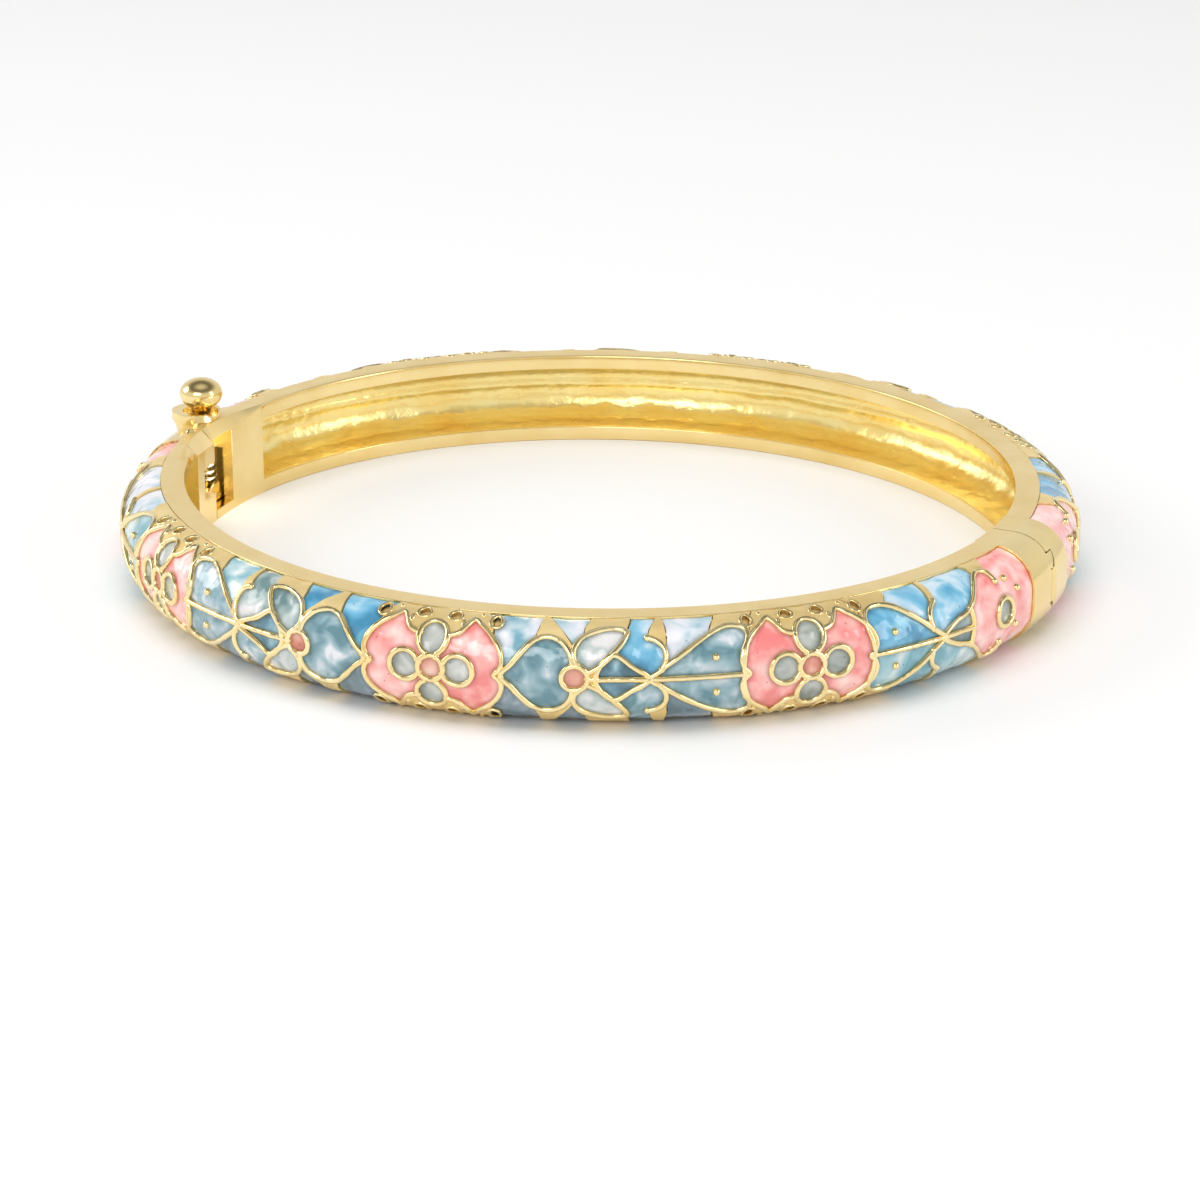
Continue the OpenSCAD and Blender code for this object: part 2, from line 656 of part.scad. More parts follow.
module cloisons(at, sprays, shorts) {
    for (s = at) {
        for (r = blossom_rings) ring(r, [s, 1, plain]);
        all_petals(s);
        for (way = [1, -1]) {
            wires(blossom_wires, [s, way, plain]);
            cells(blossom_gold, [s, way, plain], 0);
        }
    }
    for (p = sprays) {
        wires(spray_wires, p);
        mids(spray_mids, p);
        for (r = spray_rings) ring(r, p);
        cells(spray_gold, p, 0);
    }
    for (p = shorts) {
        wires(short_wires, p);
        mids(short_mids, p);
        for (r = short_rings) ring(r, p);
        cells(short_gold, p, 0);
    }
}

module pink_enamel(at, shorts) {
    for (s = at) for (way = [1, -1]) cells(blossom_cells, [s, way, plain]);
    for (p = shorts) cells(end_cells, p, enamel_drop, 3);
}

module blue_enamel(sprays, shorts) {
    for (p = sprays) {
        cells(leaf_cells, p, enamel_drop, 3);
        cells(wing_cells, p, enamel_drop, 3);
        cells(kite_cells, p);
        cells(spray_ground, p);
    }
    for (p = shorts) {
        cells(short_wing_cells, p, enamel_drop, 3);
        cells(short_kite_cells, p);
        cells(short_ground, p, enamel_drop, 3);
    }
}

module grey_enamel(at, sprays, shorts) {
    for (s = at) petal_enamel(s);
    for (p = sprays) cells(petal_cells, p);
    for (p = shorts) ring_cell(short_rings[0], p);
}

module coral_enamel(at, sprays) {
    for (s = at) ring_cell(blossom_rings[0], [s, 1, plain]);
    for (p = sprays) ring_cell(spray_rings[0], p);
}

module back() {
    mirror([0, 1, 0]) children();
}

module front_cloisons() { color(gold) cloisons(front_blossoms, front_sprays, front_shorts); }
module front_pink_enamel() { color(pink) pink_enamel(front_blossoms, front_shorts); }
module front_blue_enamel() { color(blue) blue_enamel(front_sprays, front_shorts); }
module front_grey_enamel() { color(grey) grey_enamel(front_blossoms, front_sprays, front_shorts); }
module front_coral_enamel() { color(coral) coral_enamel(front_blossoms, front_sprays); }
module back_cloisons() { color(gold) back() cloisons(back_blossoms, back_sprays, back_shorts); }
module back_pink_enamel() { color(pink) back() pink_enamel(back_blossoms, back_shorts); }
module back_blue_enamel() { color(blue) back() blue_enamel(back_sprays, back_shorts); }
module back_grey_enamel() { color(grey) back() grey_enamel(back_blossoms, back_sprays, back_shorts); }
module back_coral_enamel() { color(coral) back() coral_enamel(back_blossoms, back_sprays); }

back_half();
front_half();
hinge_pin();
push_pin();
clasp_spring();
catch_hook();
back_cloisons();
back_pink_enamel();
back_blue_enamel();
back_grey_enamel();
back_coral_enamel();
front_cloisons();
front_pink_enamel();
front_blue_enamel();
front_grey_enamel();
front_coral_enamel();
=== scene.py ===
import math
import bpy
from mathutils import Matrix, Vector, noise
from mathutils.geometry import delaunay_2d_cdt
from mathutils.kdtree import KDTree


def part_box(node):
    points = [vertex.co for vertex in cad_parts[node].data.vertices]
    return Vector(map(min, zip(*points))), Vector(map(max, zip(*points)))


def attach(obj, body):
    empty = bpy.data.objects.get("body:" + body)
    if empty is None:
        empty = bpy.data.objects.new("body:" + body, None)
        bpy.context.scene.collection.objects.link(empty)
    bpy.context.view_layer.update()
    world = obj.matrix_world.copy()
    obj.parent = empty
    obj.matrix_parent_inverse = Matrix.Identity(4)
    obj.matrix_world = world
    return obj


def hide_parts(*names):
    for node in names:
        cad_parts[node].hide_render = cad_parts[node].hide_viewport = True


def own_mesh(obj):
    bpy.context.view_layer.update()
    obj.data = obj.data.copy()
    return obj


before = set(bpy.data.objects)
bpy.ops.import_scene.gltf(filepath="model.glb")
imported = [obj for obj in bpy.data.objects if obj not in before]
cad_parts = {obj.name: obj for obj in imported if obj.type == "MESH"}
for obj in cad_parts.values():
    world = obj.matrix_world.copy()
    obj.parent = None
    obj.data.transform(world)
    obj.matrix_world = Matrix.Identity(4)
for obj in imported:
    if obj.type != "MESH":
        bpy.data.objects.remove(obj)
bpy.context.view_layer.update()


# The studio: a pale floor, one large soft light overhead, three soft lights round the bangle, a
# small one that looks into the clasp's window, and the camera at the photograph's angle.
scene = bpy.context.scene
scene.view_settings.view_transform = "Standard"
scene.view_settings.look = "None"


def deselect():
    if bpy.context.object and bpy.context.object.mode != "OBJECT":
        bpy.ops.object.mode_set(mode="OBJECT")
    bpy.ops.object.select_all(action="DESELECT")


def soft_light(name, place, aim, size, power):
    light = bpy.data.lights.new(name, "AREA")
    light.shape = "RECTANGLE"
    light.size, light.size_y = size
    light.energy = power
    lamp = bpy.data.objects.new(name, light)
    lamp.location = place
    lamp.rotation_euler = (Vector(aim) - Vector(place)).to_track_quat("-Z", "Y").to_euler()
    scene.collection.objects.link(lamp)
    return lamp


camera_data = bpy.data.cameras.new("photo_camera")
camera_data.lens = 107.4
camera_data.sensor_width = 36
camera_data.shift_x = 0.0013
camera_data.shift_y = -0.0332
camera_data.clip_start = 0.01
camera = bpy.data.objects.new("photo_camera", camera_data)
camera.location = (0.1074, -0.2202, 0.0870)
camera.rotation_euler = (-camera.location).to_track_quat("-Z", "Y").to_euler()
scene.collection.objects.link(camera)
scene.camera = camera

overhead = soft_light("overhead", (0.0, -0.05, 0.6), (0, 0, 0), (0.6, 0.5), 2.2)
overhead.visible_glossy = False
soft_light("left_side", (-0.55, -0.1, 0.28), (0, 0, 0), (0.3, 0.3), 0.7)
soft_light("right_side", (0.6, 0.05, 0.22), (0, 0, 0), (0.16, 0.4), 0.5)
soft_light("near_camera", (0.05, -0.5, 0.3), (0, 0, 0), (0.35, 0.2), 0.7)

window_light = soft_light("clasp_window", (-0.021, -0.0035, 0.0055), (-0.031, -0.0025, 0.0035),
                          (0.005, 0.004), 0.00022)
window_light.visible_camera = False
window_light.data.spread = math.radians(50)

# The room is pale near the floor and darker above, with a pale patch overhead: height, grey
SKY_FOOT, SKY_TOP = 0.8, 0.75
SKY = ((0.22, 0.86), (0.5, 0.8), (0.62, 0.5), (0.74, 0.28), (0.84, 0.14), (0.93, 0.35))
world = bpy.data.worlds.new("studio")
world.use_nodes = True
sky = world.node_tree
sky_way = sky.nodes.new("ShaderNodeTexCoord")
sky_split = sky.nodes.new("ShaderNodeSeparateXYZ")
sky_shade = sky.nodes.new("ShaderNodeValToRGB")
sky.links.new(sky_way.outputs["Generated"], sky_split.inputs["Vector"])
sky.links.new(sky_split.outputs["Z"], sky_shade.inputs["Fac"])
sky.links.new(sky_shade.outputs["Color"], sky.nodes["Background"].inputs["Color"])
for at, grey in SKY:
    stop = sky_shade.color_ramp.elements.new(at)
    stop.color = (grey, grey, grey * 0.99, 1)
sky_shade.color_ramp.elements[0].color = (SKY_FOOT, SKY_FOOT, SKY_FOOT, 1)
sky_shade.color_ramp.elements[-1].color = (SKY_TOP, SKY_TOP, SKY_TOP, 1)
scene.world = world


def new_material(name, **settings):
    """A material whose shader has these settings, with its node tree and the shader itself."""
    material = bpy.data.materials.new(name)
    material.use_nodes = True
    shader = material.node_tree.nodes["Principled BSDF"]
    for socket, value in settings.items():
        shader.inputs[socket.replace("_", " ")].default_value = value
    return material, material.node_tree, shader


def dress(piece, *materials):
    """Gives a piece these materials alone."""
    piece.data.materials.clear()
    for material in materials:
        piece.data.materials.append(material)


deselect()
bpy.ops.mesh.primitive_plane_add(size=3)
floor = bpy.context.object
floor.name = "floor"
paper, _, _ = new_material("pale_floor", Base_Color=(0.9, 0.9, 0.9, 1), Roughness=0.55)
dress(floor, paper)


# The band: two cast halves of gold-plated brass with a domed outside, flat rims, a sunk field
# for the enamel, and a hollow inside that keeps its rough, hammered casting skin. The rims
# are satin smooth, and their edges are slightly rounded.
MM = 0.001
# Sizes are in mm, and names that end in _A are angles in degrees. The oval is drawn with an arc
# at each end and one on each side, whose middles are END_X and SIDE_Y from the oval's own.
END_X, SIDE_Y = 2.42, 2.112
END_R, SIDE_R = 27.58, 30.792
SIDE_TURN = math.radians(48.888)
RIM_W, DOME_R, THICK, FLAT_H, BAND_H = 1.6, 3.0, 4.6, 0.5, 7.0
MID_Z = BAND_H / 2
SIDE_S = (SIDE_R + THICK) * SIDE_TURN
STRIP_H, WALL, FIELD_SUNK = 1.1, 1.05, 0.4
# Where the spun length of each half ends, and the seam of the clasp
HINGE_CUT_A, BACK_CUT_A, FRONT_CUT_A, CLASP_SEAM_A = 6, 174.2, 162.9, 189.2


def band_point(s, t, z):
    """The point s along the front half, t out from the inside and z high."""
    if abs(s) < SIDE_S:
        a = abs(s) / (SIDE_R + THICK)
        x, y = (SIDE_R + t) * math.sin(a), SIDE_Y - (SIDE_R + t) * math.cos(a)
    else:
        a = SIDE_TURN + (abs(s) - SIDE_S) / (END_R + THICK)
        x, y = (END_R + t) * math.sin(a) + END_X, -(END_R + t) * math.cos(a)
    return Vector((math.copysign(x, s) * MM, y * MM, z * MM))


def band_place(p):
    """What band_point was given for a point p of the front half, or for its mirror image."""
    x, y, z = p.x / MM, -abs(p.y) / MM, p.z / MM
    a = math.atan2(abs(x), SIDE_Y - y)
    if a < SIDE_TURN:
        t, s = math.hypot(x, SIDE_Y - y) - SIDE_R, a * (SIDE_R + THICK)
    else:
        a = math.atan2(abs(x) - END_X, -y)
        t, s = math.hypot(abs(x) - END_X, y) - END_R, SIDE_S + (a - SIDE_TURN) * (END_R + THICK)
    return math.copysign(s, x), t, z


def pattern(tree, kind, **settings):
    """A texture laid in the piece's own coordinates."""
    texture = tree.nodes.new(kind)
    for socket, value in settings.items():
        texture.inputs[socket].default_value = value
    place = tree.nodes.get("Texture Coordinate") or tree.nodes.new("ShaderNodeTexCoord")
    tree.links.new(place.outputs["Object"], texture.inputs["Vector"])
    return texture.outputs[0]


def ramp(tree, value, stops):
    """Colours that follow a value, from stops of (value, color)."""
    n = tree.nodes.new("ShaderNodeValToRGB")
    while len(n.color_ramp.elements) < len(stops):
        n.color_ramp.elements.new(0.5)
    for stop, (at, color) in zip(n.color_ramp.elements, stops):
        stop.position = at
        stop.color = (*color, 1)
    tree.links.new(value, n.inputs["Fac"])
    return n.outputs["Color"]


def spread(tree, value, low, high):
    """A value from 0 to 1 made to run from low to high."""
    n = tree.nodes.new("ShaderNodeMapRange")
    n.inputs["To Min"].default_value = low
    n.inputs["To Max"].default_value = high
    tree.links.new(value, n.inputs["Value"])
    return n.outputs["Result"]


def bump(tree, height, strength, distance):
    n = tree.nodes.new("ShaderNodeBump")
    n.inputs["Strength"].default_value = strength
    n.inputs["Distance"].default_value = distance * MM
    tree.links.new(height, n.inputs["Height"])
    return n.outputs["Normal"]


def gold_metal(name, light, deep, rough, wave, wave_size=1.5, metal=1.0):
    """Plated gold: slow changes of tint and polish, and fine unevenness of a polished casting."""
    tint_scale, polish_scale, wave_deep = 260, 900, 0.04
    material, tree, shader = new_material(name, Metallic=metal)
    link = tree.links.new
    tint = pattern(tree, "ShaderNodeTexNoise", Scale=tint_scale, Detail=3)
    link(ramp(tree, tint, [(0.3, deep), (0.7, light)]), shader.inputs["Base Color"])
    polish = pattern(tree, "ShaderNodeTexNoise", Scale=polish_scale, Detail=4)
    link(spread(tree, polish, rough * 0.8, rough * 1.3), shader.inputs["Roughness"])
    uneven = pattern(tree, "ShaderNodeTexNoise", Scale=1 / (wave_size * MM), Detail=2)
    link(bump(tree, uneven, wave, wave_deep), shader.inputs["Normal"])
    return material


polished_gold = gold_metal("polished_gold", (0.94, 0.76, 0.38), (0.87, 0.66, 0.28), 0.15, 0.35)
satin_gold = gold_metal("satin_gold", (0.97, 0.77, 0.38), (0.92, 0.69, 0.29), 0.34, 0.25, 1.5, 0.8)
hammered_gold = gold_metal("hammered_gold", (1.0, 0.86, 0.4), (0.98, 0.75, 0.27), 0.24, 0.9, 0.5, 0.8)


def pick(*pieces):
    """Selects these pieces alone, the first of them as the active one."""
    deselect()
    for piece in pieces:
        piece.select_set(True)
    bpy.context.view_layer.objects.active = pieces[0]


def new_piece(name, points, edges, faces):
    mesh = bpy.data.meshes.new(name)
    mesh.from_pydata(points, edges, faces)
    piece = bpy.data.objects.new(name, mesh)
    scene.collection.objects.link(piece)
    pick(piece)
    return piece


def edit_all():
    """Opens the active piece for edits of its mesh, with all of it selected."""
    bpy.ops.object.mode_set(mode="EDIT")
    bpy.ops.mesh.select_all(action="SELECT")


def face_outwards():
    """Turns the faces of a mesh outwards, and ends its edits."""
    bpy.ops.mesh.select_all(action="SELECT")
    bpy.ops.mesh.normals_make_consistent(inside=False)
    bpy.ops.object.mode_set(mode="OBJECT")


def shade(sharp_a):
    """Shades the active piece smooth, apart from edges sharper than an angle."""
    bpy.ops.object.shade_smooth_by_angle(angle=math.radians(sharp_a))


def join(name, *pieces):
    pick(*pieces)
    bpy.ops.object.join()
    pieces[0].name = name
    pieces[0].data.name = name
    return pieces[0]


def hollow_section():
    """Outline of the band's section, as points [t, z]: corners carry the size of their bevel."""
    foot_round, rim_round, strip_round, lip_round = 0.14, 0.06, 0.09, 0.3
    dome_low_a = 88

    def on_arc(r, a, b):
        a = math.radians(a)
        return RIM_W + r * math.cos(a), DOME_R - r * math.sin(a), b

    low = [(0.0, 0.0, foot_round), (RIM_W / 2, 0.0, 0), (RIM_W - 0.15, 0.0, 0)]
    low.append(on_arc(DOME_R, dome_low_a, rim_round))
    low += [on_arc(DOME_R - FIELD_SUNK, a, 0) for a in (dome_low_a, 78, 68, 57, 46, 35, 24, 12, 0)]
    outside = low + [(t, BAND_H - z, b) for t, z, b in reversed(low)]
    core = DOME_R - WALL
    reach = math.acos((DOME_R - STRIP_H) / core)
    lip = RIM_W + core * math.sin(reach)
    top = [(0.0, BAND_H - STRIP_H / 2, 0), (0.0, BAND_H - STRIP_H, strip_round)]
    top += [(lip * k / 6, BAND_H - STRIP_H, 0) for k in range(1, 6)]
    top.append((lip, BAND_H - STRIP_H, lip_round))
    for k in range(1, 10):
        a = reach + (math.pi / 2 - reach) * k / 9
        top.append((RIM_W + core * math.sin(a), BAND_H - DOME_R + core * math.cos(a), 0))
    wall = [(RIM_W + core, MID_Z + z, 0) for z in (FLAT_H / 2, 0, -FLAT_H / 2)]
    outline = outside + top + wall + [(t, BAND_H - z, b) for t, z, b in reversed(top)]
    rounded = []
    for k, (t, z, b) in enumerate(outline):
        corner = Vector((t, z))
        if not b:
            rounded.append(corner)
            continue
        before, after = (Vector(outline[i % len(outline)][:2]) for i in (k - 1, k + 1))
        a = corner + (before - corner).normalized() * b
        c = corner + (after - corner).normalized() * b
        rounded += [a.lerp(corner, x).lerp(corner.lerp(c, x), x) for x in (0, 0.33, 0.67, 1)]
    return rounded


def spun_band(name, clasp_cut_a, y_way):
    """The hollow length of a half, spun round the oval's arcs from the hinge to the clasp."""
    step_a = 0.55
    start = math.radians(HINGE_CUT_A)
    outline = hollow_section()
    points = [((END_X + (END_R + t) * math.cos(start)) * MM,
               (END_R + t) * math.sin(start) * y_way * MM, z * MM) for t, z in outline]
    n = len(points)
    piece = new_piece(name, points, [(i, (i + 1) % n) for i in range(n)], [])
    edit_all()
    side_a = 90 - math.degrees(SIDE_TURN)
    arcs = [((END_X, 0), side_a - HINGE_CUT_A), ((0, -SIDE_Y), 180 - 2 * side_a),
            ((-END_X, 0), clasp_cut_a - 180 + side_a)]
    for (x, y), angle in arcs:
        bpy.ops.mesh.spin(steps=round(abs(angle) / step_a), angle=-math.radians(angle) * y_way,
                          center=(x * MM, y * MM * y_way, 0), axis=(0, 0, 1))
    bpy.ops.mesh.select_all(action="SELECT")
    bpy.ops.mesh.remove_doubles(threshold=1e-7)
    bpy.ops.mesh.select_all(action="DESELECT")
    bpy.ops.mesh.select_mode(type="EDGE")
    bpy.ops.mesh.select_non_manifold()
    bpy.ops.mesh.edge_face_add()
    face_outwards()
    return piece


def wobble(x, y, layer):
    """A random value about 0, which changes smoothly with x and y."""
    return noise.noise(Vector((x, y, layer)))


def beaten(s, t, z, seed):
    """Where the hammer left a point of the inside: shallow dents, and a rough ridge along its
    middle that comes up from the wall."""
    dent_deep, grain_deep, ridge_deep, ridge_wide, ridge_at = 0.13, 0.05, 0.26, 0.2, 0.25
    h = z - MID_Z
    away = Vector((max(t - RIM_W, 0), h - max(-FLAT_H, min(FLAT_H, h))))
    away = away.normalized() if away.length > 1e-6 else Vector((1, 0))
    q = Vector((s * 0.5, t * 0.6, z * 0.6 + seed))
    dent = min(noise.voronoi(q)[0][0], 0.7) - 0.35
    low_down = min(1, max(0.12, 0.5 - h))
    rough = low_down * (dent_deep * dent + grain_deep * noise.noise(q * 3.2))
    ridge_h = ridge_at + 0.14 * wobble(s * 0.3, seed, 0)
    ridge = ridge_deep * math.exp(-((h - ridge_h) / ridge_wide) ** 2)
    ridge *= 0.6 + 0.9 * wobble(s * 2.6, seed, 3)
    fade = min(1, max(0, (t - 0.25) / 0.9))
    move = (rough - ridge * min(1, max(0, t - 2.2))) * fade
    return t + away.x * move, z + away.y * move


def hammer(piece, y_way, seed):
    """Beats the inside, and cuts the rim's inner edge back beside the clasp, where a cone that
    widens upwards takes it off."""
    cone_r, cone_low, cone_t = 15.0, 1.6, 1.5
    wall_t, strip_t, inside_h, strip_h = 3.62, 0.12, 2.42, 2.3
    seam = math.radians(CLASP_SEAM_A)
    cone_x = -END_X + (END_R + 1 - cone_r) * math.cos(seam)
    cone_y = (END_R + 1 - cone_r) * math.sin(seam)
    for v in piece.data.vertices:
        s, t, z = band_place(v.co)
        h = abs(z - MID_Z)
        if -0.01 < t < wall_t and h < inside_h and (t > strip_t or h < strip_h):
            t, z = beaten(s, t, z, seed)
            v.co = band_point(s, t, z)
            v.co.y *= -y_way
        x, y = v.co.x / MM - cone_x, v.co.y / MM - cone_y
        over = cone_r - (BAND_H - v.co.z / MM) - math.hypot(x, y)
        if over > 0 and v.co.z / MM > BAND_H - cone_low and v.co.x < 0 and t < cone_t:
            k = 1 + over / math.hypot(x, y)
            v.co.x, v.co.y = (cone_x + x * k) * MM, (cone_y + y * k) * MM


# Triangles of a solid that bend less than this at their edge are one flat face
SAME_FACE = math.radians(0.6)


def merged_copy(node_name, name):
    """A copy of a CAD node's mesh with its corners merged, left in edit mode."""
    piece = bpy.data.objects.new(name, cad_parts[node_name].data.copy())
    scene.collection.objects.link(piece)
    pick(piece)
    piece.data.materials.clear()
    edit_all()
    bpy.ops.mesh.remove_doubles(threshold=2e-7)
    return piece


def cut_end(node_name, name, way, cut_a):
    """An end of a half, as its CAD solid has it, towards the hinge (way 1) or the clasp (way -1):
    cut off at an angle round the end arc's middle."""
    piece = merged_copy(node_name, name)
    a = math.radians(cut_a)
    normal = Vector((-math.sin(a), math.cos(a), 0))
    seam = math.radians(0 if way > 0 else CLASP_SEAM_A)
    if Vector((math.cos(seam), math.sin(seam), 0)).dot(normal) < 0:
        normal = -normal
    cuts = [(way * END_X, normal), (way * 10, (way, 0, 0))]
    for x, keep in cuts:
        bpy.ops.mesh.bisect(plane_co=(x * MM, 0, 0), plane_no=keep, clear_inner=True, use_fill=True,
                            threshold=1e-7)
        bpy.ops.mesh.select_all(action="SELECT")
    bpy.ops.mesh.dissolve_limited(angle_limit=SAME_FACE)
    bpy.ops.object.mode_set(mode="OBJECT")
    return piece


def soften(piece, width, segments):
    """Rounds the sharp edges of a cast piece."""
    pick(piece)
    soft = piece.modifiers.new("soft_edges", "BEVEL")
    soft.width = width * MM
    soft.segments = segments
    soft.limit_method = "ANGLE"
    soft.angle_limit = math.radians(35)
    bpy.ops.object.modifier_apply(modifier=soft.name)


def even_normals(piece):
    """Large faces keep their own direction, and the rounded edges beside them bend."""
    even = piece.modifiers.new("even_normals", "WEIGHTED_NORMAL")
    even.keep_sharp = True
    bpy.ops.object.modifier_apply(modifier=even.name)


def dome_normals(piece):
    """Corners on the dome take the dome's true direction, so that its reflections run on evenly
    over the large faces of the ends."""
    off_dome, near_enough = 0.02, 0.94
    mesh = piece.data
    normals = [Vector(corner.vector) for corner in mesh.corner_normals]
    for face in mesh.polygons:
        for i in face.loop_indices:
            p = mesh.vertices[mesh.loops[i].vertex_index].co
            s, t, z = band_place(p)
            h = z - MID_Z
            away = Vector((t - RIM_W, h - max(-FLAT_H, min(FLAT_H, h))))
            if t < RIM_W or abs(away.length - DOME_R) > off_dome:
                continue
            away.normalize()
            out = (band_point(s, t + 1, z) - band_point(s, t, z)).normalized()
            if p.y > 0:
                out.y = -out.y
            true = Vector((out.x * away.x, out.y * away.x, away.y))
            if true.dot(face.normal) > near_enough:
                normals[i] = true
    mesh.normals_split_custom_set(normals)


def finish_half(node_name, body, y_way, clasp_cut_a, seed):
    """One half: the spun length between the two ends of the CAD solid, in three finishes."""
    spun = spun_band(node_name + "_spun", clasp_cut_a, y_way)
    hammer(spun, y_way, seed)
    ends = [cut_end(node_name, node_name + "_hinge_end", 1, HINGE_CUT_A * y_way),
            cut_end(node_name, node_name + "_clasp_end", -1, clasp_cut_a * y_way)]
    for end in ends:
        soften(end, 0.05, 2)
    spun_faces = len(spun.data.polygons)
    half = join(node_name + "_band", spun, *ends)
    dress(half, polished_gold, satin_gold, hammered_gold)
    inner_t, outer_t, inside_h = 0.12, 3.9, 2.75
    for face in half.data.polygons:
        _, t, z = band_place(face.center)
        level = abs(face.normal.z)
        inside = inner_t < t < outer_t and abs(z - MID_Z) < inside_h
        if inside and (face.index < spun_faces or level < 0.5):
            face.material_index = 2
        elif level > 0.6 and t < RIM_W + 0.02:
            face.material_index = 1
    shade(32)
    even_normals(half)
    dome_normals(half)
    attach(half, body)
    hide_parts(node_name)


finish_half("back_half", "back", 1, BACK_CUT_A, 0.0)
finish_half("front_half", "front", -1, FRONT_CUT_A, 17.0)


# The wires: thin gold wires that stand on edge in the sunk field, soldered down and drawn
# into blossoms and leaves, with small gold beads in the wings. They are one piece on each half
# with the patches of bare gold ground, which carry small sockets and drops of gold.
PLAIN = [[0, 0], [5, 5]]
# How each spray's chart is stretched along the band: charted u, and its place from the blossom
FRONT_SPRAY_R = [[0, 0], [4.5, 4.5], [9.5, 9.5], [14.4, 14.3], [20.4, 20.4], [25, 25.1]]
FRONT_SPRAY_L = [[0, 0], [4.5, 4.5], [9.5, 10], [12.1, 12.6], [13.6, 14.1], [14.4, 15.5], [15.45, 16],
                 [18.7, 19.2], [20.4, 21.3], [25, 25.9]]
FRONT_SHORT_R = [[0, 0], [4.5, 4.5], [20.6, 20.6]]
FRONT_SHORT_L = [[0, 0], [4.5, 4.5], [20.6, 23.55]]
BACK_SPRAY = [[0, 0], [4.5, 4.5], [9.5, 10.1], [14.4, 15.9], [20.4, 22.9], [25, 27.9]]
BACK_SHORT = [[0, 0], [4.5, 4.5], [20.6, 22.9]]
# Places s along each half: blossoms, the field's ends, and the sprays with their way and stretch
LAYOUT = {
    "front": {"blossoms": [-21.8, 4.1, 29.2], "ends": (-45.06, 49.89),
              "sprays": [(4.1, 1, FRONT_SPRAY_R), (4.1, -1, FRONT_SPRAY_L)],
              "shorts": [(29.2, 1, FRONT_SHORT_R), (-21.8, -1, FRONT_SHORT_L)]},
    "back": {"blossoms": [-28.9, -1, 26.9], "ends": (-51.85, 49.89),
             "sprays": [(-1, 1, BACK_SPRAY), (-1, -1, BACK_SPRAY)],
             "shorts": [(26.9, 1, BACK_SHORT), (-28.9, -1, BACK_SHORT)]},
}
# The charts' wires above mid height, from a blossom's middle: u along the band, w up over it
BLOSSOM_WIRES = [
    [[4.28, 0], [4.62, 0.35], [4.78, 0.9], [4.6, 1.6], [4.2, 2.25], [3.75, 2.75], [3.1, 3.35], [2.6, 3.85],
     [2.2, 3.3], [1.75, 2.6], [1.02, 2.3]]
]
# Ovals of wire: how far out the middle is, half widths along and across
BLOSSOM_RING, SIDE_PETAL, UP_PETAL = (0, 0.88, 0.88), (1.82, 1.04, 1.06), (2.1, 1.02, 1.2)
SPRAY_RING, SHORT_RING = (9.5, 0.86, 0.86), (16.9, 0.9, 1.05)
PETAL_OPEN_A = 22
# Sockets in the gold ground round the blossoms: u, w, half widths along and across
BLOSSOM_PITS = [[1.15, 4.12, 0.47, 0.66], [4.05, 3.85, 0.4, 0.7]]
# Raised drops of gold beside them: u, w, half widths
BLOSSOM_DROPS = [[1.86, 3.3, 0.2, 0.42], [3.0, 4.45, 0.17, 0.3]]
QUARTERS = [(1, 1), (1, -1), (-1, 1), (-1, -1)]
SPRAY_WIRES = [
    [[4.72, 0], [5.4, 0.8], [6.1, 1.7], [6.8, 2.45], [7.7, 2.75], [8.6, 2.4], [9.2, 1.6], [9.35, 0.9]],
    [[9.8, 0.82], [9.45, 1.3], [9.45, 2], [10, 2.8], [11.1, 3.35], [12.2, 3.5], [12.95, 3.2], [12.7, 2.5],
     [12.1, 1.75], [11.2, 0.9], [10.3, 0.4]],
    [[10.85, 0], [11.2, 0.9], [12.1, 1.6], [13.2, 0.9], [14.4, 0]],
    [[14.4, 0], [15.15, 0.6], [15.45, 1.3], [15.35, 2], [14.9, 2.5], [14.3, 2.75]],
    [[15.15, 0.6], [16.9, 1.85], [18.4, 2.85], [19.6, 3.4], [20.6, 3.2], [20.9, 2.6], [20.6, 1.6],
     [20.45, 0.8], [20.45, 0]]
]
# Straight wires at mid height, from u to u
SPRAY_MIDS = [[10.3, 14.4], [14.4, 20.5]]
SHORT_WIRES = [
    [[4.6, 0], [4.5, 0.9], [4.3, 1.8], [4.3, 2.6], [4.8, 3.2], [5.7, 3.35], [6.7, 3], [8, 2], [9.45, 0.8],
     [10.4, 0]],
    [[9.45, 0.75], [9.35, 1.5], [9.6, 2.1], [10.15, 2.6]],
    [[10.4, 0], [11.5, 0.8], [12.8, 1.2], [13.6, 1.8], [14.3, 2.6], [15, 3.3], [15.75, 3.55], [16.35, 3.2],
     [16.55, 2.4]],
    [[13.3, 0], [13.25, 0.6], [13.1, 1.35]]
]
SHORT_MIDS = [[4.6, 13.3]]
RIM_EDGE = 5.08
# The pattern sits a little above mid height: charted heights, and their places on the band
LIFT = [[-5.2, -5.2], [-3.5, -2.8], [-1.5, -1.02], [0, 0.31], [3.5, 3.9], [5.2, 5.2]]
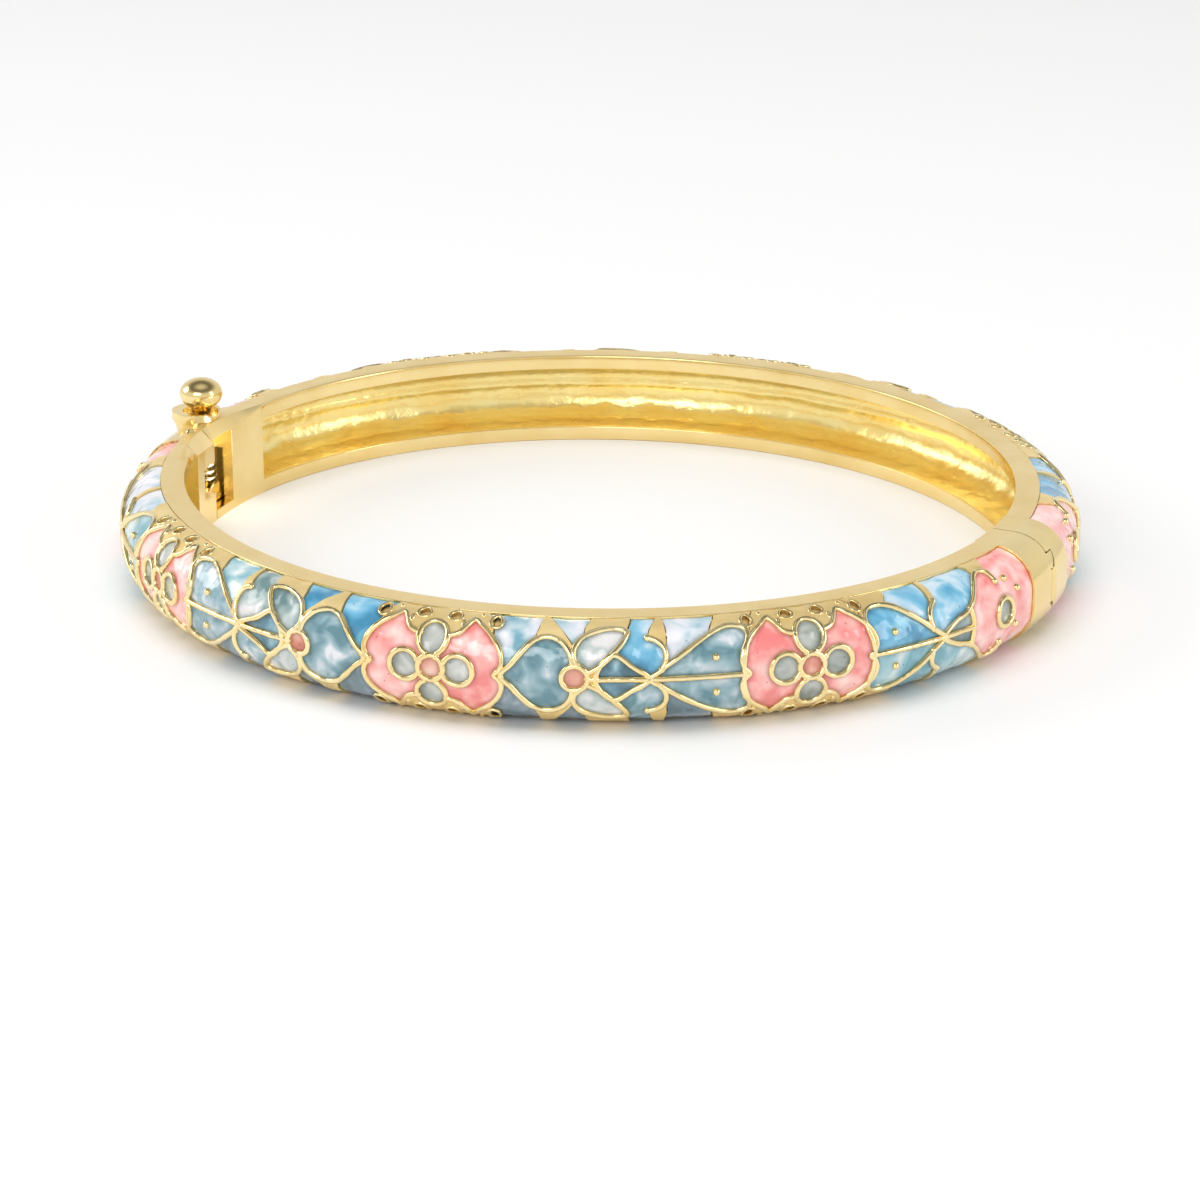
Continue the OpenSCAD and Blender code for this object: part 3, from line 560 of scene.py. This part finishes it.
# Edges where enamel ends at bare gold, from a wire up to the rim
BLOSSOM_EDGES = [[[3.3, 5.2], [3.62, 4.4], [3.95, 3.4], [4.1, 2.4]]]
SPRAY_EDGES = [
    [[7.2, 5.2], [7.1, 4.2], [7, 3.4], [6.8, 2.45]],
    [[7.62, 5.2], [8, 4.3], [8.45, 3.5], [8.95, 2.8], [9.42, 2.1]],
    [[10.5, 5.2], [10.35, 4.4], [10.1, 3.6], [10, 2.8]], [[13.3, 5.2], [13.2, 4.3], [12.95, 3.2]],
    [[15, 5.2], [14.8, 4.4], [14.5, 3.5], [14.3, 2.75]], [[15.38, 5.2], [15.5, 4], [15.58, 3], [15.45, 1.5]],
    [[19, 5.2], [18.85, 4.4], [18.6, 3.7], [18.3, 2.82]]
]
SHORT_EDGES = [
    [[7.05, 5.2], [6.85, 4.3], [6.55, 3.7], [6.3, 3.18]],
    [[10.05, 5.2], [9.95, 3.6], [9.85, 2.7], [9.6, 2.1]],
    [[10.5, 5.2], [10.45, 3.6], [10.4, 2.8], [10.15, 2.6]],
    [[14.85, 5.2], [15.1, 4.5], [15.12, 3.9], [15, 3.3]],
    [[17.35, 5.2], [16.9, 4.4], [16.5, 3.6], [16.35, 3.2]]
]
# Short edges that part the upper cells from the lower ones between a blossom's tip and a spray
TIES = [[[4.1, 0], [4.75, 0]]]


def to_s(place, u):
    """Where a charted u lies along the band."""
    at, way, table = place
    if u >= 0:
        for (u0, s0), (u1, s1) in zip(table, table[1:]):
            if u <= u1 or u1 == table[-1][0]:
                u = s0 + (s1 - s0) * (min(u, u1) - u0) / (u1 - u0)
                break
    return at + way * u


def below(path):
    return [[u, -w] for u, w in path]


def placed(path, place):
    return [(to_s(place, u), w) for u, w in path]


def lifted(w):
    """The height over mid height that a charted w has on the band."""
    for (a, b), (c, d) in zip(LIFT, LIFT[1:]):
        if w <= c:
            break
    return b + (d - b) * (w - a) / (c - a)


def both_ways(paths, place):
    """Paths of a chart above and below mid height: those that touch it are joined there."""
    out = []
    for path in paths:
        starts, ends = path[0][1] == 0, path[-1][1] == 0
        if starts and ends:
            out.append((placed(path + below(path[-2:0:-1]), place), True))
        elif starts:
            out.append((placed(below(path[:0:-1]) + path, place), False))
        elif ends:
            out.append((placed(path + below(path[-2::-1]), place), False))
        else:
            out += [(placed(path, place), False), (placed(below(path), place), False)]
    return out


def oval_path(place, u, w, along, across, open_at=None):
    """An oval of wire, closed, or open for a few degrees at an angle."""
    s = to_s(place, u)
    closed = open_at is None
    n, from_a, turn = (28, 0, 360) if closed else (24, open_at + PETAL_OPEN_A, 360 - 2 * PETAL_OPEN_A)
    spots = [math.radians(from_a + turn * i / n) for i in range(n if closed else n + 1)]
    return [(s + along * math.cos(a), w + across * math.sin(a)) for a in spots], closed


def smooth(path, loop, step=0.14):
    """Points close together on a smooth curve through the path's points."""
    n = len(path)
    out = []
    for i in range(n if loop else n - 1):
        around = [(i + k) % n if loop else max(0, min(n - 1, i + k)) for k in (-1, 0, 1, 2)]
        a, b, c, d = (Vector(path[k]) for k in around)
        parts = max(1, round((c - b).length / step))
        for j in range(parts):
            x = j / parts
            out.append(0.5 * ((2 * b) + (c - a) * x + (2 * a - 5 * b + 4 * c - d) * x * x
                              + (3 * b - a - 3 * c + d) * x ** 3))
    if not loop:
        out.append(Vector(path[-1]))
    return out


def mid_wires(spans, place, parts):
    return [(placed([[a + (b - a) * k / parts, 0] for k in range(parts + 1)], place), False)
            for a, b in spans]


def wire_paths(side):
    """The wires of a half: smooth paths of points [s, w], each with True if it is a loop."""
    layout = LAYOUT[side]
    paths = []
    for s in layout["blossoms"]:
        at = (s, 1, PLAIN)
        paths.append(oval_path(at, 0, *BLOSSOM_RING))
        for way in (1, -1):
            out, along, across = SIDE_PETAL
            paths.append(oval_path((s + way * out, 1, PLAIN), 0, 0, along, across, 180 if way > 0 else 0))
            out, along, across = UP_PETAL
            paths.append(oval_path(at, 0, way * out, along, across, -90 * way))
            paths += both_ways(BLOSSOM_WIRES, (s, way, PLAIN))
    for place in layout["sprays"]:
        u, along, across = SPRAY_RING
        paths += both_ways(SPRAY_WIRES, place) + mid_wires(SPRAY_MIDS, place, 3)
        paths.append(oval_path(place, u, 0, along, across))
    for place in layout["shorts"]:
        u, along, across = SHORT_RING
        paths += both_ways(SHORT_WIRES, place) + mid_wires(SHORT_MIDS, place, 4)
        paths.append(oval_path(place, u, 0, along, across))
    return [(smooth(p, loop), loop) for p, loop in paths]


def socket_paths(side):
    """Thin loops round the sockets, drawn out to a point towards the rim."""
    points, pointed = 28, 0.35
    paths = []
    for s in LAYOUT[side]["blossoms"]:
        for way, up in QUARTERS:
            for u, w, along, across in BLOSSOM_PITS:
                ring = [math.tau * k / points for k in range(points)]
                spots = [(s + way * (u + along * math.cos(a) * (1 - pointed * math.sin(a))),
                          up * (w + across * math.sin(a))) for a in ring]
                paths.append((smooth(spots, True), True))
    return paths


def spot_tree(spots):
    """Finds which of these spots [s, w] is nearest to a point (s, w, 0)."""
    tree = KDTree(len(spots))
    for k, (s, w) in enumerate(spots):
        tree.insert((s, w, 0), k)
    tree.balance()
    return tree


def tied(paths):
    """Open ends of wires are led on to the wire that they stop beside."""
    reach = 0.42
    tree = spot_tree([spot for path, loop in paths for spot in path])
    owner = [k for k, (path, loop) in enumerate(paths) for spot in path]
    out = []
    for k, (path, loop) in enumerate(paths):
        path = list(path)
        if not loop:
            for end in (0, -1):
                tip = path[end]
                near = [(co, d) for co, i, d in tree.find_range((tip[0], tip[1], 0), reach) if owner[i] != k]
                if near:
                    meet = Vector(min(near, key=lambda found: found[1])[0][:2])
                    if (meet - tip).length > 1e-4:
                        path.insert(0 if end == 0 else len(path), meet)
        out.append((path, loop))
    return out


def edge_paths(side):
    """Edges without a wire that part the cells of a half."""
    layout = LAYOUT[side]
    edges = []
    for s in layout["blossoms"]:
        for way in (1, -1):
            edges += both_ways(BLOSSOM_EDGES, (s, way, PLAIN))
    for place in layout["sprays"]:
        edges += both_ways(SPRAY_EDGES, place)
    for place in layout["shorts"]:
        edges += both_ways(SHORT_EDGES, place)
    for place in layout["sprays"] + layout["shorts"]:
        edges += [(placed(tie, place), False) for tie in TIES]
    return edges


def on_band(s, w, depth, y_way):
    """The point of a half (y_way 1 for the back) at s, w of its chart, some way under the dome."""
    w = lifted(w)
    a = max(abs(w) - FLAT_H, 0) / DOME_R
    t = RIM_W + (DOME_R - depth) * math.cos(a)
    z = MID_Z + math.copysign(min(abs(w), FLAT_H) + (DOME_R - depth) * math.sin(a), w)
    p = band_point(s, t, z)
    p.y *= -y_way
    return p


WIRE_R, WIRE_SUNK = 0.2, 0.09
SOCKET_WIRE_R, SOCKET_WIRE_SUNK = 0.12, 0.06


def tube_piece(name, lines, radius, roundness):
    """Round wire along lines of (place, swelling), each line with True if it is a loop."""
    curve = bpy.data.curves.new(name, "CURVE")
    curve.dimensions = "3D"
    curve.bevel_depth = radius * MM
    curve.bevel_resolution = roundness
    curve.use_fill_caps = True
    for spots, loop in lines:
        spline = curve.splines.new("POLY")
        spline.points.add(len(spots) - 1)
        for point, (place, swelling) in zip(spline.points, spots):
            point.co = (*place, 1)
            point.radius = swelling
        spline.use_cyclic_u = loop
    piece = bpy.data.objects.new(name, curve)
    scene.collection.objects.link(piece)
    pick(piece)
    bpy.ops.object.convert(target="MESH")
    return bpy.context.object


def wire_piece(name, paths, y_way, radius, sunk):
    """Wires laid on the band, which swell and thin a little, as drawn wire does when it is bent."""
    uneven = 0.2

    def swelling(s, w):
        slow = wobble(s * 0.9, w * 0.9, 5)
        return 1 + uneven * (slow + 0.5 * wobble(s * 3, w * 3, 8))

    lines = [([(on_band(s, w, sunk, y_way), swelling(s, w)) for s, w in path], loop) for path, loop in paths]
    return tube_piece(name, lines, radius, 2)


def split_field(side, paths):
    """Divides a half's field along its wires and edges, and returns the corners [s, w], the
    triangles, the number of the cell that each triangle is in, and the count of the cells."""
    over, edge_step, step = 0.22, 0.2, 0.26
    s0, s1 = LAYOUT[side]["ends"]
    points, edges = [], []

    def line(path, loop):
        first = len(points)
        points.extend(Vector((p[0], max(-RIM_EDGE, min(RIM_EDGE, p[1])))) for p in path)
        edges.extend((first + i, first + i + 1) for i in range(len(path) - 1))
        if loop:
            edges.append((len(points) - 1, first))

    def straight(a, b):
        n = max(1, round((Vector(b) - Vector(a)).length / edge_step))
        return [Vector(a).lerp(Vector(b), k / n) for k in range(n + 1)]

    for path, loop in paths:
        line(path, loop)
    for path, loop in edge_paths(side):
        past = Vector(path[-1]) + over * (Vector(path[-1]) - Vector(path[-2])).normalized()
        path = path + [past]
        fine = []
        for a, b in zip(path, path[1:]):
            fine += straight(a, b)[:-1]
        line(fine + [past], False)
    corners = [(s0, -RIM_EDGE), (s1, -RIM_EDGE), (s1, RIM_EDGE), (s0, RIM_EDGE)]
    for a, b in zip(corners, corners[1:] + corners[:1]):
        line(straight(a, b), False)
    rows, columns = int(2 * RIM_EDGE / step), int((s1 - s0) / step)
    for j in range(1, rows):
        w = -RIM_EDGE + 2 * RIM_EDGE * j / rows
        points.extend(Vector((s0 + (i + 0.25 + 0.5 * (j % 2)) * step, w)) for i in range(columns))
    out, out_edges, faces, _, from_edges, _ = delaunay_2d_cdt(points, edges, [], 0, 1e-3)
    barrier = {tuple(sorted(e)) for e, source in zip(out_edges, from_edges) if source}
    sides = {}
    for k, f in enumerate(faces):
        for a, b in zip(f, list(f[1:]) + [f[0]]):
            sides.setdefault(tuple(sorted((a, b))), []).append(k)
    # Triangles on both sides of an edge without a wire are in one cell
    cell = [-1] * len(faces)
    count = 0
    for first in range(len(faces)):
        if cell[first] >= 0:
            continue
        cell[first] = count
        todo = [first]
        while todo:
            f = faces[todo.pop()]
            for a, b in zip(f, list(f[1:]) + [f[0]]):
                key = tuple(sorted((a, b)))
                if key in barrier:
                    continue
                for k in sides[key]:
                    if cell[k] < 0:
                        cell[k] = count
                        todo.append(k)
        count += 1
    return out, faces, cell, count


def cell_solids(points, triangles, chosen, y_way, depth_at, low):
    """Closed solids over some cells: the face follows depth_at, the underside lies at low. The
    points of an outline are drawn in a little, to stay clear of the next cell."""
    tuck = 0.05
    verts, faces, face_kinds, tones, flat = [], [], [], [], []
    for number, kind in chosen:
        own = triangles[number]
        ring = {}
        for f in own:
            for a, b in zip(f, (*f[1:], f[0])):
                ring[(a, b)] = f
        outline = [e for e in ring if (e[1], e[0]) not in ring]
        inward = {}
        for e in outline:
            f = ring[e]
            middle = sum((points[i] for i in f), Vector((0, 0))) / 3
            for i in e:
                inward.setdefault(i, Vector((0, 0)))
                inward[i] += (middle - points[i]).normalized()
        index = {}
        for f in own:
            for i in f:
                if i not in index:
                    p = points[i].copy()
                    if i in inward and inward[i].length > 1e-6:
                        p += inward[i].normalized() * tuck
                    index[i] = len(verts)
                    flat += [(p.x, p.y)] * 2
                    verts.append(on_band(p.x, p.y, depth_at(p, kind), y_way))
                    verts.append(on_band(p.x, p.y, low, y_way))
        for f in own:
            a, b, c = (index[i] for i in f)
            faces += [(a, b, c), (c + 1, b + 1, a + 1)]
        faces += [(index[a], index[a] + 1, index[b] + 1, index[b]) for a, b in outline]
        face_kinds += [kind] * (2 * len(own) + len(outline))
        tones += [number] * (2 * len(index))
    return verts, faces, face_kinds, tones, flat


def build_cells(name, field, chosen, kind_names, y_way, depth_at, low):
    """A piece of the chosen cells, with a tone for each cell, and the places [s, w] of its points."""
    verts, faces, face_kinds, tones, flat = cell_solids(*field, chosen, y_way, depth_at, low)
    piece = new_piece(name, verts, [], faces)
    piece.data.polygons.foreach_set("material_index", [kind_names.index(k) for k in face_kinds])
    tone = piece.data.attributes.new("tone", "FLOAT", "POINT")
    golden = 0.618034
    tone.data.foreach_set("value", [(n * golden) % 1 for n in tones])
    edit_all()
    face_outwards()
    shade(50)
    return piece, flat


# What lies at a spot of the chart: u, w, the enamel above mid height, the enamel below it
BLOSSOM_SPOTS = [[3.4, 0.9, "pink", "pink"], [1.82, 0, "grey", "grey"], [0, 2.1, "grey", "grey"],
                 [0, 0, "coral", "coral"], [1.12, 4.15, "pit", "pit"], [4.08, 4.05, "pit", "pit"]]
SPRAY_SPOTS = [[7.2, 1.0, "slate", "slate"], [7.2, 0.1, "slate", "slate"], [9.5, 0, "coral", "coral"],
               [10.8, 2.1, "pearl", "pearl"], [12.2, 0.7, "steel", "steel"], [14, 1.6, "sky", "slate"],
               [18.6, 1.4, "slate", "slate"], [5.4, 3.4, "pale", "smoke"], [9.3, 3.6, "pale", "smoke"],
               [17, 3.4, "pale", "smoke"]]
SHORT_SPOTS = [[6.5, 1.4, "sky", "mist"], [12.4, 0.5, "pearl", "pearl"], [8.4, 3.2, "sky", "mist"],
               [12, 2.6, "sky", "mist"], [14.6, 1, "pink", "pink"], [19, 2, "pink", "pink"],
               [16.9, 0, "grey", "grey"]]
# Cells of the front half that are filled otherwise
FRONT_CHANGES = [((4.1, -1, FRONT_SPRAY_L), [[5.4, 3.4, "sky"], [9.3, 3.6, "sky"], [14, 1.6, "pearl"],
                                             [17, 3.4, "mist"]]),
                 ((-21.8, -1, FRONT_SHORT_L), [[6.5, 1.4, "mist"], [8.4, 3.2, "pale"], [12, 2.6, "pale"]])]
PIECE_OF = {"pink": "pink", "grey": "grey", "pearl": "grey", "coral": "coral", "sky": "blue", "slate": "blue",
            "steel": "blue", "pale": "blue", "smoke": "blue", "mist": "blue"}


def name_cells(side, points, faces, cell, count):
    """Which enamel each cell holds. A cell that holds none is bare gold ground."""
    tree = spot_tree([sum((points[i] for i in f), Vector((0, 0))) / 3 for f in faces])
    kinds = ["gold"] * count
    layout = LAYOUT[side]
    places = [(BLOSSOM_SPOTS, (s, way, PLAIN)) for s in layout["blossoms"] for way in (1, -1)]
    places += [(SPRAY_SPOTS, p) for p in layout["sprays"]] + [(SHORT_SPOTS, p) for p in layout["shorts"]]
    for spots, place in places:
        for u, w, up, down in spots:
            for kind, h in ((up, w), (down, -w)):
                k = tree.find((to_s(place, u), h, 0))[1]
                kinds[cell[k]] = kind
    for place, spots in FRONT_CHANGES if side == "front" else ():
        for u, w, kind in spots:
            kinds[cell[tree.find((to_s(place, u), w, 0))[1]]] = kind
    return kinds


def beads(spots, y_way):
    """Small round beads of gold at some spots [s, w, radius]."""
    sunk = 0.11
    out = []
    for s, w, r in spots:
        deselect()
        bpy.ops.mesh.primitive_ico_sphere_add(subdivisions=3, radius=r * MM,
                                              location=on_band(s, w, r - sunk, y_way))
        bpy.ops.object.transform_apply()
        out.append(bpy.context.object)
    return out


def drops(side, y_way):
    """Long drops of gold that stand up beside the sockets."""
    middle, high = 0.08, 0.18
    out = []
    for s in LAYOUT[side]["blossoms"]:
        for way, up in QUARTERS:
            for u, w, along, across in BLOSSOM_DROPS:
                deselect()
                bpy.ops.mesh.primitive_uv_sphere_add(segments=14, ring_count=9, radius=1)
                drop = bpy.context.object
                for v in drop.data.vertices:
                    x, y, z = v.co
                    v.co = on_band(s + way * (u + along * x), up * (w + across * y), middle - high * z, y_way)
                out.append(drop)
    return out


def ground_depth(tree):
    """The bare gold lies just under the dome, a little uneven, and low in the sockets."""
    socket_deep, ground_deep, uneven, flat_beside = 0.32, 0.05, 0.05, 0.3

    def depth_at(p, kind):
        if kind == "pit":
            return socket_deep
        wave = uneven * wobble(p.x * 1.1, p.y * 1.1, 4)
        return ground_deep + wave * min(1, tree.find((p.x, p.y, 0))[2] / flat_beside)

    return depth_at


wire_gold = gold_metal("wire_gold", (0.97, 0.83, 0.48), (0.9, 0.7, 0.33), 0.14, 0.6, 0.6)
ground_gold = gold_metal("ground_gold", (0.95, 0.75, 0.36), (0.86, 0.62, 0.25), 0.4, 0.9, 0.7, 0.55)
# Beads in the wings and in the end flowers: u, w
BEADS = {"sprays": [[18.65, 1.25], [18.65, -1.25]],
         "shorts": [[6.3, 1.25], [6.3, -1.25], [17.6, 2.3], [18.6, 1.3], [18.2, -1.3]]}
BEAD_R, SOLDER_R = 0.26, 0.25
# How deep under the dome the ground's underside lies
GROUND_LOW = 0.37
fields = {}
for side, y_way in (("front", -1), ("back", 1)):
    drawn = tied(wire_paths(side))
    sockets = socket_paths(side)
    points, faces, cell, count = split_field(side, drawn + sockets)
    kinds = name_cells(side, points, faces, cell, count)
    triangles = [[] for _ in range(count)]
    for k, f in enumerate(faces):
        triangles[cell[k]].append(f)
    tree = spot_tree([spot for path, loop in drawn + sockets for spot in path])
    fields[side] = ((points, triangles), kinds, tree)

    bare = [(n, kind) for n, kind in enumerate(kinds) if kind in ("gold", "pit")]
    ground, _ = build_cells(side + "_ground", (points, triangles), bare, ["gold", "pit"], y_way,
                            ground_depth(tree), GROUND_LOW)
    spots = [(to_s(place, u), w, BEAD_R) for kind, places in BEADS.items() for place in LAYOUT[side][kind]
             for u, w in places]
    spots += [(end.x, end.y, SOLDER_R + 0.05 * wobble(end.x, end.y, 2))
              for path, loop in drawn if not loop for end in (path[0], path[-1])]
    laid = join(side + "_wire", wire_piece(side + "_wire", drawn, y_way, WIRE_R, WIRE_SUNK),
                wire_piece(side + "_sockets", sockets, y_way, SOCKET_WIRE_R, SOCKET_WIRE_SUNK))
    first, extra = len(laid.data.polygons), len(ground.data.polygons)
    wires = join(side + "_wires", laid, ground, *beads(spots, y_way), *drops(side, y_way))
    dress(wires, wire_gold, ground_gold)
    rest = len(wires.data.polygons) - first - extra
    wires.data.polygons.foreach_set("material_index", [0] * first + [1] * extra + [0] * rest)
    shade(50)
    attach(wires, side)
    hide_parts(side + "_cloisons")


# The enamel: coloured glass melted into each cell between the wires. It is glossy, a little
# lower in the middle of a cell, and clouded with paler and darker streaks of its own colour.
def srgb(r, g, b):
    return tuple(((c / 255 + 0.055) / 1.055) ** 2.4 for c in (r, g, b))


def attribute(tree, name):
    n = tree.nodes.new("ShaderNodeAttribute")
    n.attribute_name = name
    return n.outputs["Fac"]


def combine(tree, how, a, b):
    n = tree.nodes.new("ShaderNodeMath")
    n.operation = how
    tree.links.new(a, n.inputs[0])
    tree.links.new(b, n.inputs[1])
    return n.outputs["Value"]


def enamel(name, *colors, cloud=2, streak=0.5):
    """colors go from the deepest to the palest part of the clouds, whose size is in mm."""
    colors = [srgb(*color) for color in colors]
    deepest_at, palest_at, cell_shift = 0.33, 0.69, 0.06
    speck_every, ripple_size, ripple, ripple_deep = 0.9, 1.1, 0.7, 0.22
    material, tree, shader = new_material(name + "_enamel", Roughness=0.1, Coat_Weight=0.6,
                                          Coat_Roughness=0.1, IOR=1.52)
    link = tree.links.new
    clouds = pattern(tree, "ShaderNodeTexNoise", Scale=1 / (cloud * MM), Detail=2, Roughness=0.45,
                     Distortion=streak)
    shift = spread(tree, attribute(tree, "tone"), -cell_shift, cell_shift)
    between = (palest_at - deepest_at) / (len(colors) - 1)
    stops = [(deepest_at + between * i, color) for i, color in enumerate(colors)]
    shades = ramp(tree, combine(tree, "ADD", clouds, shift), stops)
    # Painted shade where the glass meets a wire, mixed towards half the deepest colour, with a few fine dark
    # specks
    specks = pattern(tree, "ShaderNodeTexVoronoi", Scale=1 / (speck_every * MM))
    few = ramp(tree, specks, [(0.05, (0.75, 0.75, 0.75)), (0.085, (0, 0, 0))])
    shaded = tree.nodes.new("ShaderNodeMix")
    shaded.data_type = "RGBA"
    shaded.inputs["B"].default_value = (*(0.5 * c for c in colors[0]), 1)
    link(combine(tree, "MAXIMUM", attribute(tree, "beside"), few), shaded.inputs["Factor"])
    link(shades, shaded.inputs["A"])
    link(shaded.outputs["Result"], shader.inputs["Base Color"])
    rippled = bump(tree, pattern(tree, "ShaderNodeTexNoise", Scale=1 / (ripple_size * MM), Detail=1),
                   ripple, ripple_deep)
    link(rippled, shader.inputs["Normal"])
    link(rippled, shader.inputs["Coat Normal"])
    return material


ENAMELS = {
    "pink": enamel("pink", (238, 134, 132), (247, 168, 162), (250, 192, 186),
                   (252, 214, 208), cloud=1.5, streak=0.2),
    "sky": enamel("sky", (70, 140, 176), (104, 174, 208), (136, 194, 220), (200, 222, 236)),
    "slate": enamel("slate", (92, 134, 146), (128, 162, 172), (164, 188, 196),
                    (224, 226, 230), cloud=1.5),
    "steel": enamel("steel", (70, 108, 122), (92, 136, 154), (118, 160, 178),
                    (160, 192, 202), cloud=1.6),
    "pale": enamel("pale", (118, 168, 186), (176, 202, 212), (218, 222, 230), (238, 236, 242)),
    "smoke": enamel("smoke", (88, 112, 122), (114, 138, 148), (146, 160, 172), (190, 194, 204)),
    "mist": enamel("mist", (110, 164, 178), (146, 190, 202), (184, 210, 214), (228, 234, 232)),
    "grey": enamel("grey", (124, 134, 128), (156, 164, 158), (190, 194, 188), (220, 220, 216)),
    "pearl": enamel("pearl", (110, 138, 140), (150, 172, 170), (190, 200, 198),
                    (224, 222, 222), cloud=1.8),
    "coral": enamel("coral", (204, 118, 98), (220, 146, 124), (232, 172, 152),
                    (242, 202, 186), cloud=1.6),
}
# How deep under the dome the enamel's underside lies
GLASS_LOW = 0.3


def glass_depth(tree):
    """The enamel's face is lower in the middle of a cell, and waves a little away from the wires."""
    edge_deep, sag, sag_within, flat_beside = 0.15, 0.03, 0.45, 0.3

    def depth_at(p, kind):
        d = tree.find((p.x, p.y, 0))[2]
        wave = 0.05 * wobble(p.x * 0.8, p.y * 0.8, 1)
        wave += 0.02 * wobble(p.x * 2, p.y * 2, 2)
        return edge_deep + sag * (1 - math.exp(-(d / sag_within) ** 2)) + wave * min(1, d / flat_beside)

    return depth_at


def painted_wire_shade(tree, s, w):
    """How much painted shade the enamel gets from the wire beside it."""
    darkest, under_wire, fades_within = 0.75, 0.12, 0.2
    return darkest * math.exp(-(max(tree.find((s, w, 0))[2] - under_wire, 0) / fades_within) ** 2)


for side, y_way in (("front", -1), ("back", 1)):
    field, kinds, tree = fields[side]
    for color in ("pink", "blue", "grey", "coral"):
        names = sorted(kind for kind, piece in PIECE_OF.items() if piece == color)
        chosen = [(n, kind) for n, kind in enumerate(kinds) if PIECE_OF.get(kind) == color]
        glass, flat = build_cells(f"{side}_{color}_glass", field, chosen, names, y_way,
                                  glass_depth(tree), GLASS_LOW)
        for kind in names:
            glass.data.materials.append(ENAMELS[kind])
        # The painted shade beside the wires, kept in the point attribute beside
        beside = glass.data.attributes.new("beside", "FLOAT", "POINT")
        beside.data.foreach_set("value", [painted_wire_shade(tree, s, w) for s, w in flat])
        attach(glass, side)
        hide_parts(f"{side}_{color}_enamel")


# The hinge pin: a plain round pin of the same gold as the halves, pushed through the knuckles
# of both and cut flush, with its sharp edges taken off.
low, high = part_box("hinge_pin")
deselect()
bpy.ops.mesh.primitive_cylinder_add(vertices=48, radius=(high.x - low.x) / 2, depth=high.z - low.z,
                                    location=(low + high) / 2)
rivet = bpy.context.object
rivet.name = "hinge_rivet"
edit_all()
bpy.ops.mesh.bevel(offset=0.06 * MM, segments=3, affect="EDGES")
bpy.ops.object.mode_set(mode="OBJECT")
bpy.ops.object.transform_apply()
shade(35)
dress(rivet, polished_gold)
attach(rivet, "back")
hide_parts("hinge_pin")


# The push pin: a polished gold ball on a stem. Pressed down, its foot leaves the catch, and
# the spring under its flange lifts it again. It is turned from one rod.
low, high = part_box("push_pin")
pin = Vector(((low.x + high.x) / 2, (low.y + high.y) / 2, 0))
ball_z, ball_r, ball_up, ball_down, stem_r = 8.9, 1.6, 1.15, 1.25, 0.7
foot_r, foot_z, foot_edge = 0.45, 0.82, 0.05
flange_r, flange_low, flange_high, flange_edge = 1.02, 4.15, 4.63, 0.04
neck = math.acos(stem_r / ball_r)
profile = [(0, foot_z), (foot_r - foot_edge, foot_z), (foot_r, foot_z + foot_edge), (foot_r, flange_low),
           (flange_r - flange_edge, flange_low), (flange_r, flange_low + flange_edge),
           (flange_r, flange_high - flange_edge), (flange_r - flange_edge, flange_high),
           (stem_r, flange_high)]
profile += [(stem_r, z) for z in (5.4, 6.2, 7, 7.55)]
profile += [(ball_r * math.cos(a), ball_z + ball_down * math.sin(a))
            for a in (-neck + neck * k / 14 for k in range(1, 15))]
profile += [(ball_r * math.cos(a), ball_z + ball_up * math.sin(a))
            for a in (math.pi / 2 * k / 16 for k in range(1, 16))]
profile.append((0, ball_z + ball_up))
button = new_piece("push_button", [(pin.x + r * MM, pin.y, z * MM) for r, z in profile],
                   [(i, i + 1) for i in range(len(profile) - 1)], [])
edit_all()
bpy.ops.mesh.spin(steps=72, angle=-math.tau, center=pin, axis=(0, 0, 1))
bpy.ops.mesh.select_all(action="SELECT")
bpy.ops.mesh.remove_doubles(threshold=1e-7)
face_outwards()
shade(35)
dress(button, polished_gold)
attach(button, "pin")
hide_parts("push_pin")


# The spring: four turns of hard drawn wire round the push pin's foot, between a shelf in the
# back half and the pin's flange.
spring_r, wire_r, spring_low, spring_high, turns, per_turn = 0.84, 0.17, 1.81, 3.94, 4, 28
winding = []
for k in range(turns * per_turn + 1):
    a = math.tau * k / per_turn
    rise = spring_low + (spring_high - spring_low) * k / (turns * per_turn)
    place = (pin.x + spring_r * MM * math.cos(a), pin.y + spring_r * MM * math.sin(a), rise * MM)
    winding.append((place, 1))
spring = tube_piece("clasp_coil", [(winding, False)], wire_r, 3)
shade(60)
spring_wire = gold_metal("spring_wire", (0.86, 0.8, 0.62), (0.78, 0.72, 0.54), 0.24, 0.3, 0.4)
dress(spring, spring_wire)
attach(spring, "back")
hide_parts("clasp_spring")
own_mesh(spring)


# The catch hook: a forked gold plate fixed in the front half. Its prongs reach round the push
# pin's foot, and its nose stands up in the window.
hook = merged_copy("catch_hook", "catch_fork")
bpy.ops.mesh.dissolve_limited(angle_limit=SAME_FACE)
bpy.ops.object.mode_set(mode="OBJECT")
soften(hook, 0.06, 3)
shade(35)
even_normals(hook)
dress(hook, polished_gold)
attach(hook, "front")
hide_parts("catch_hook")
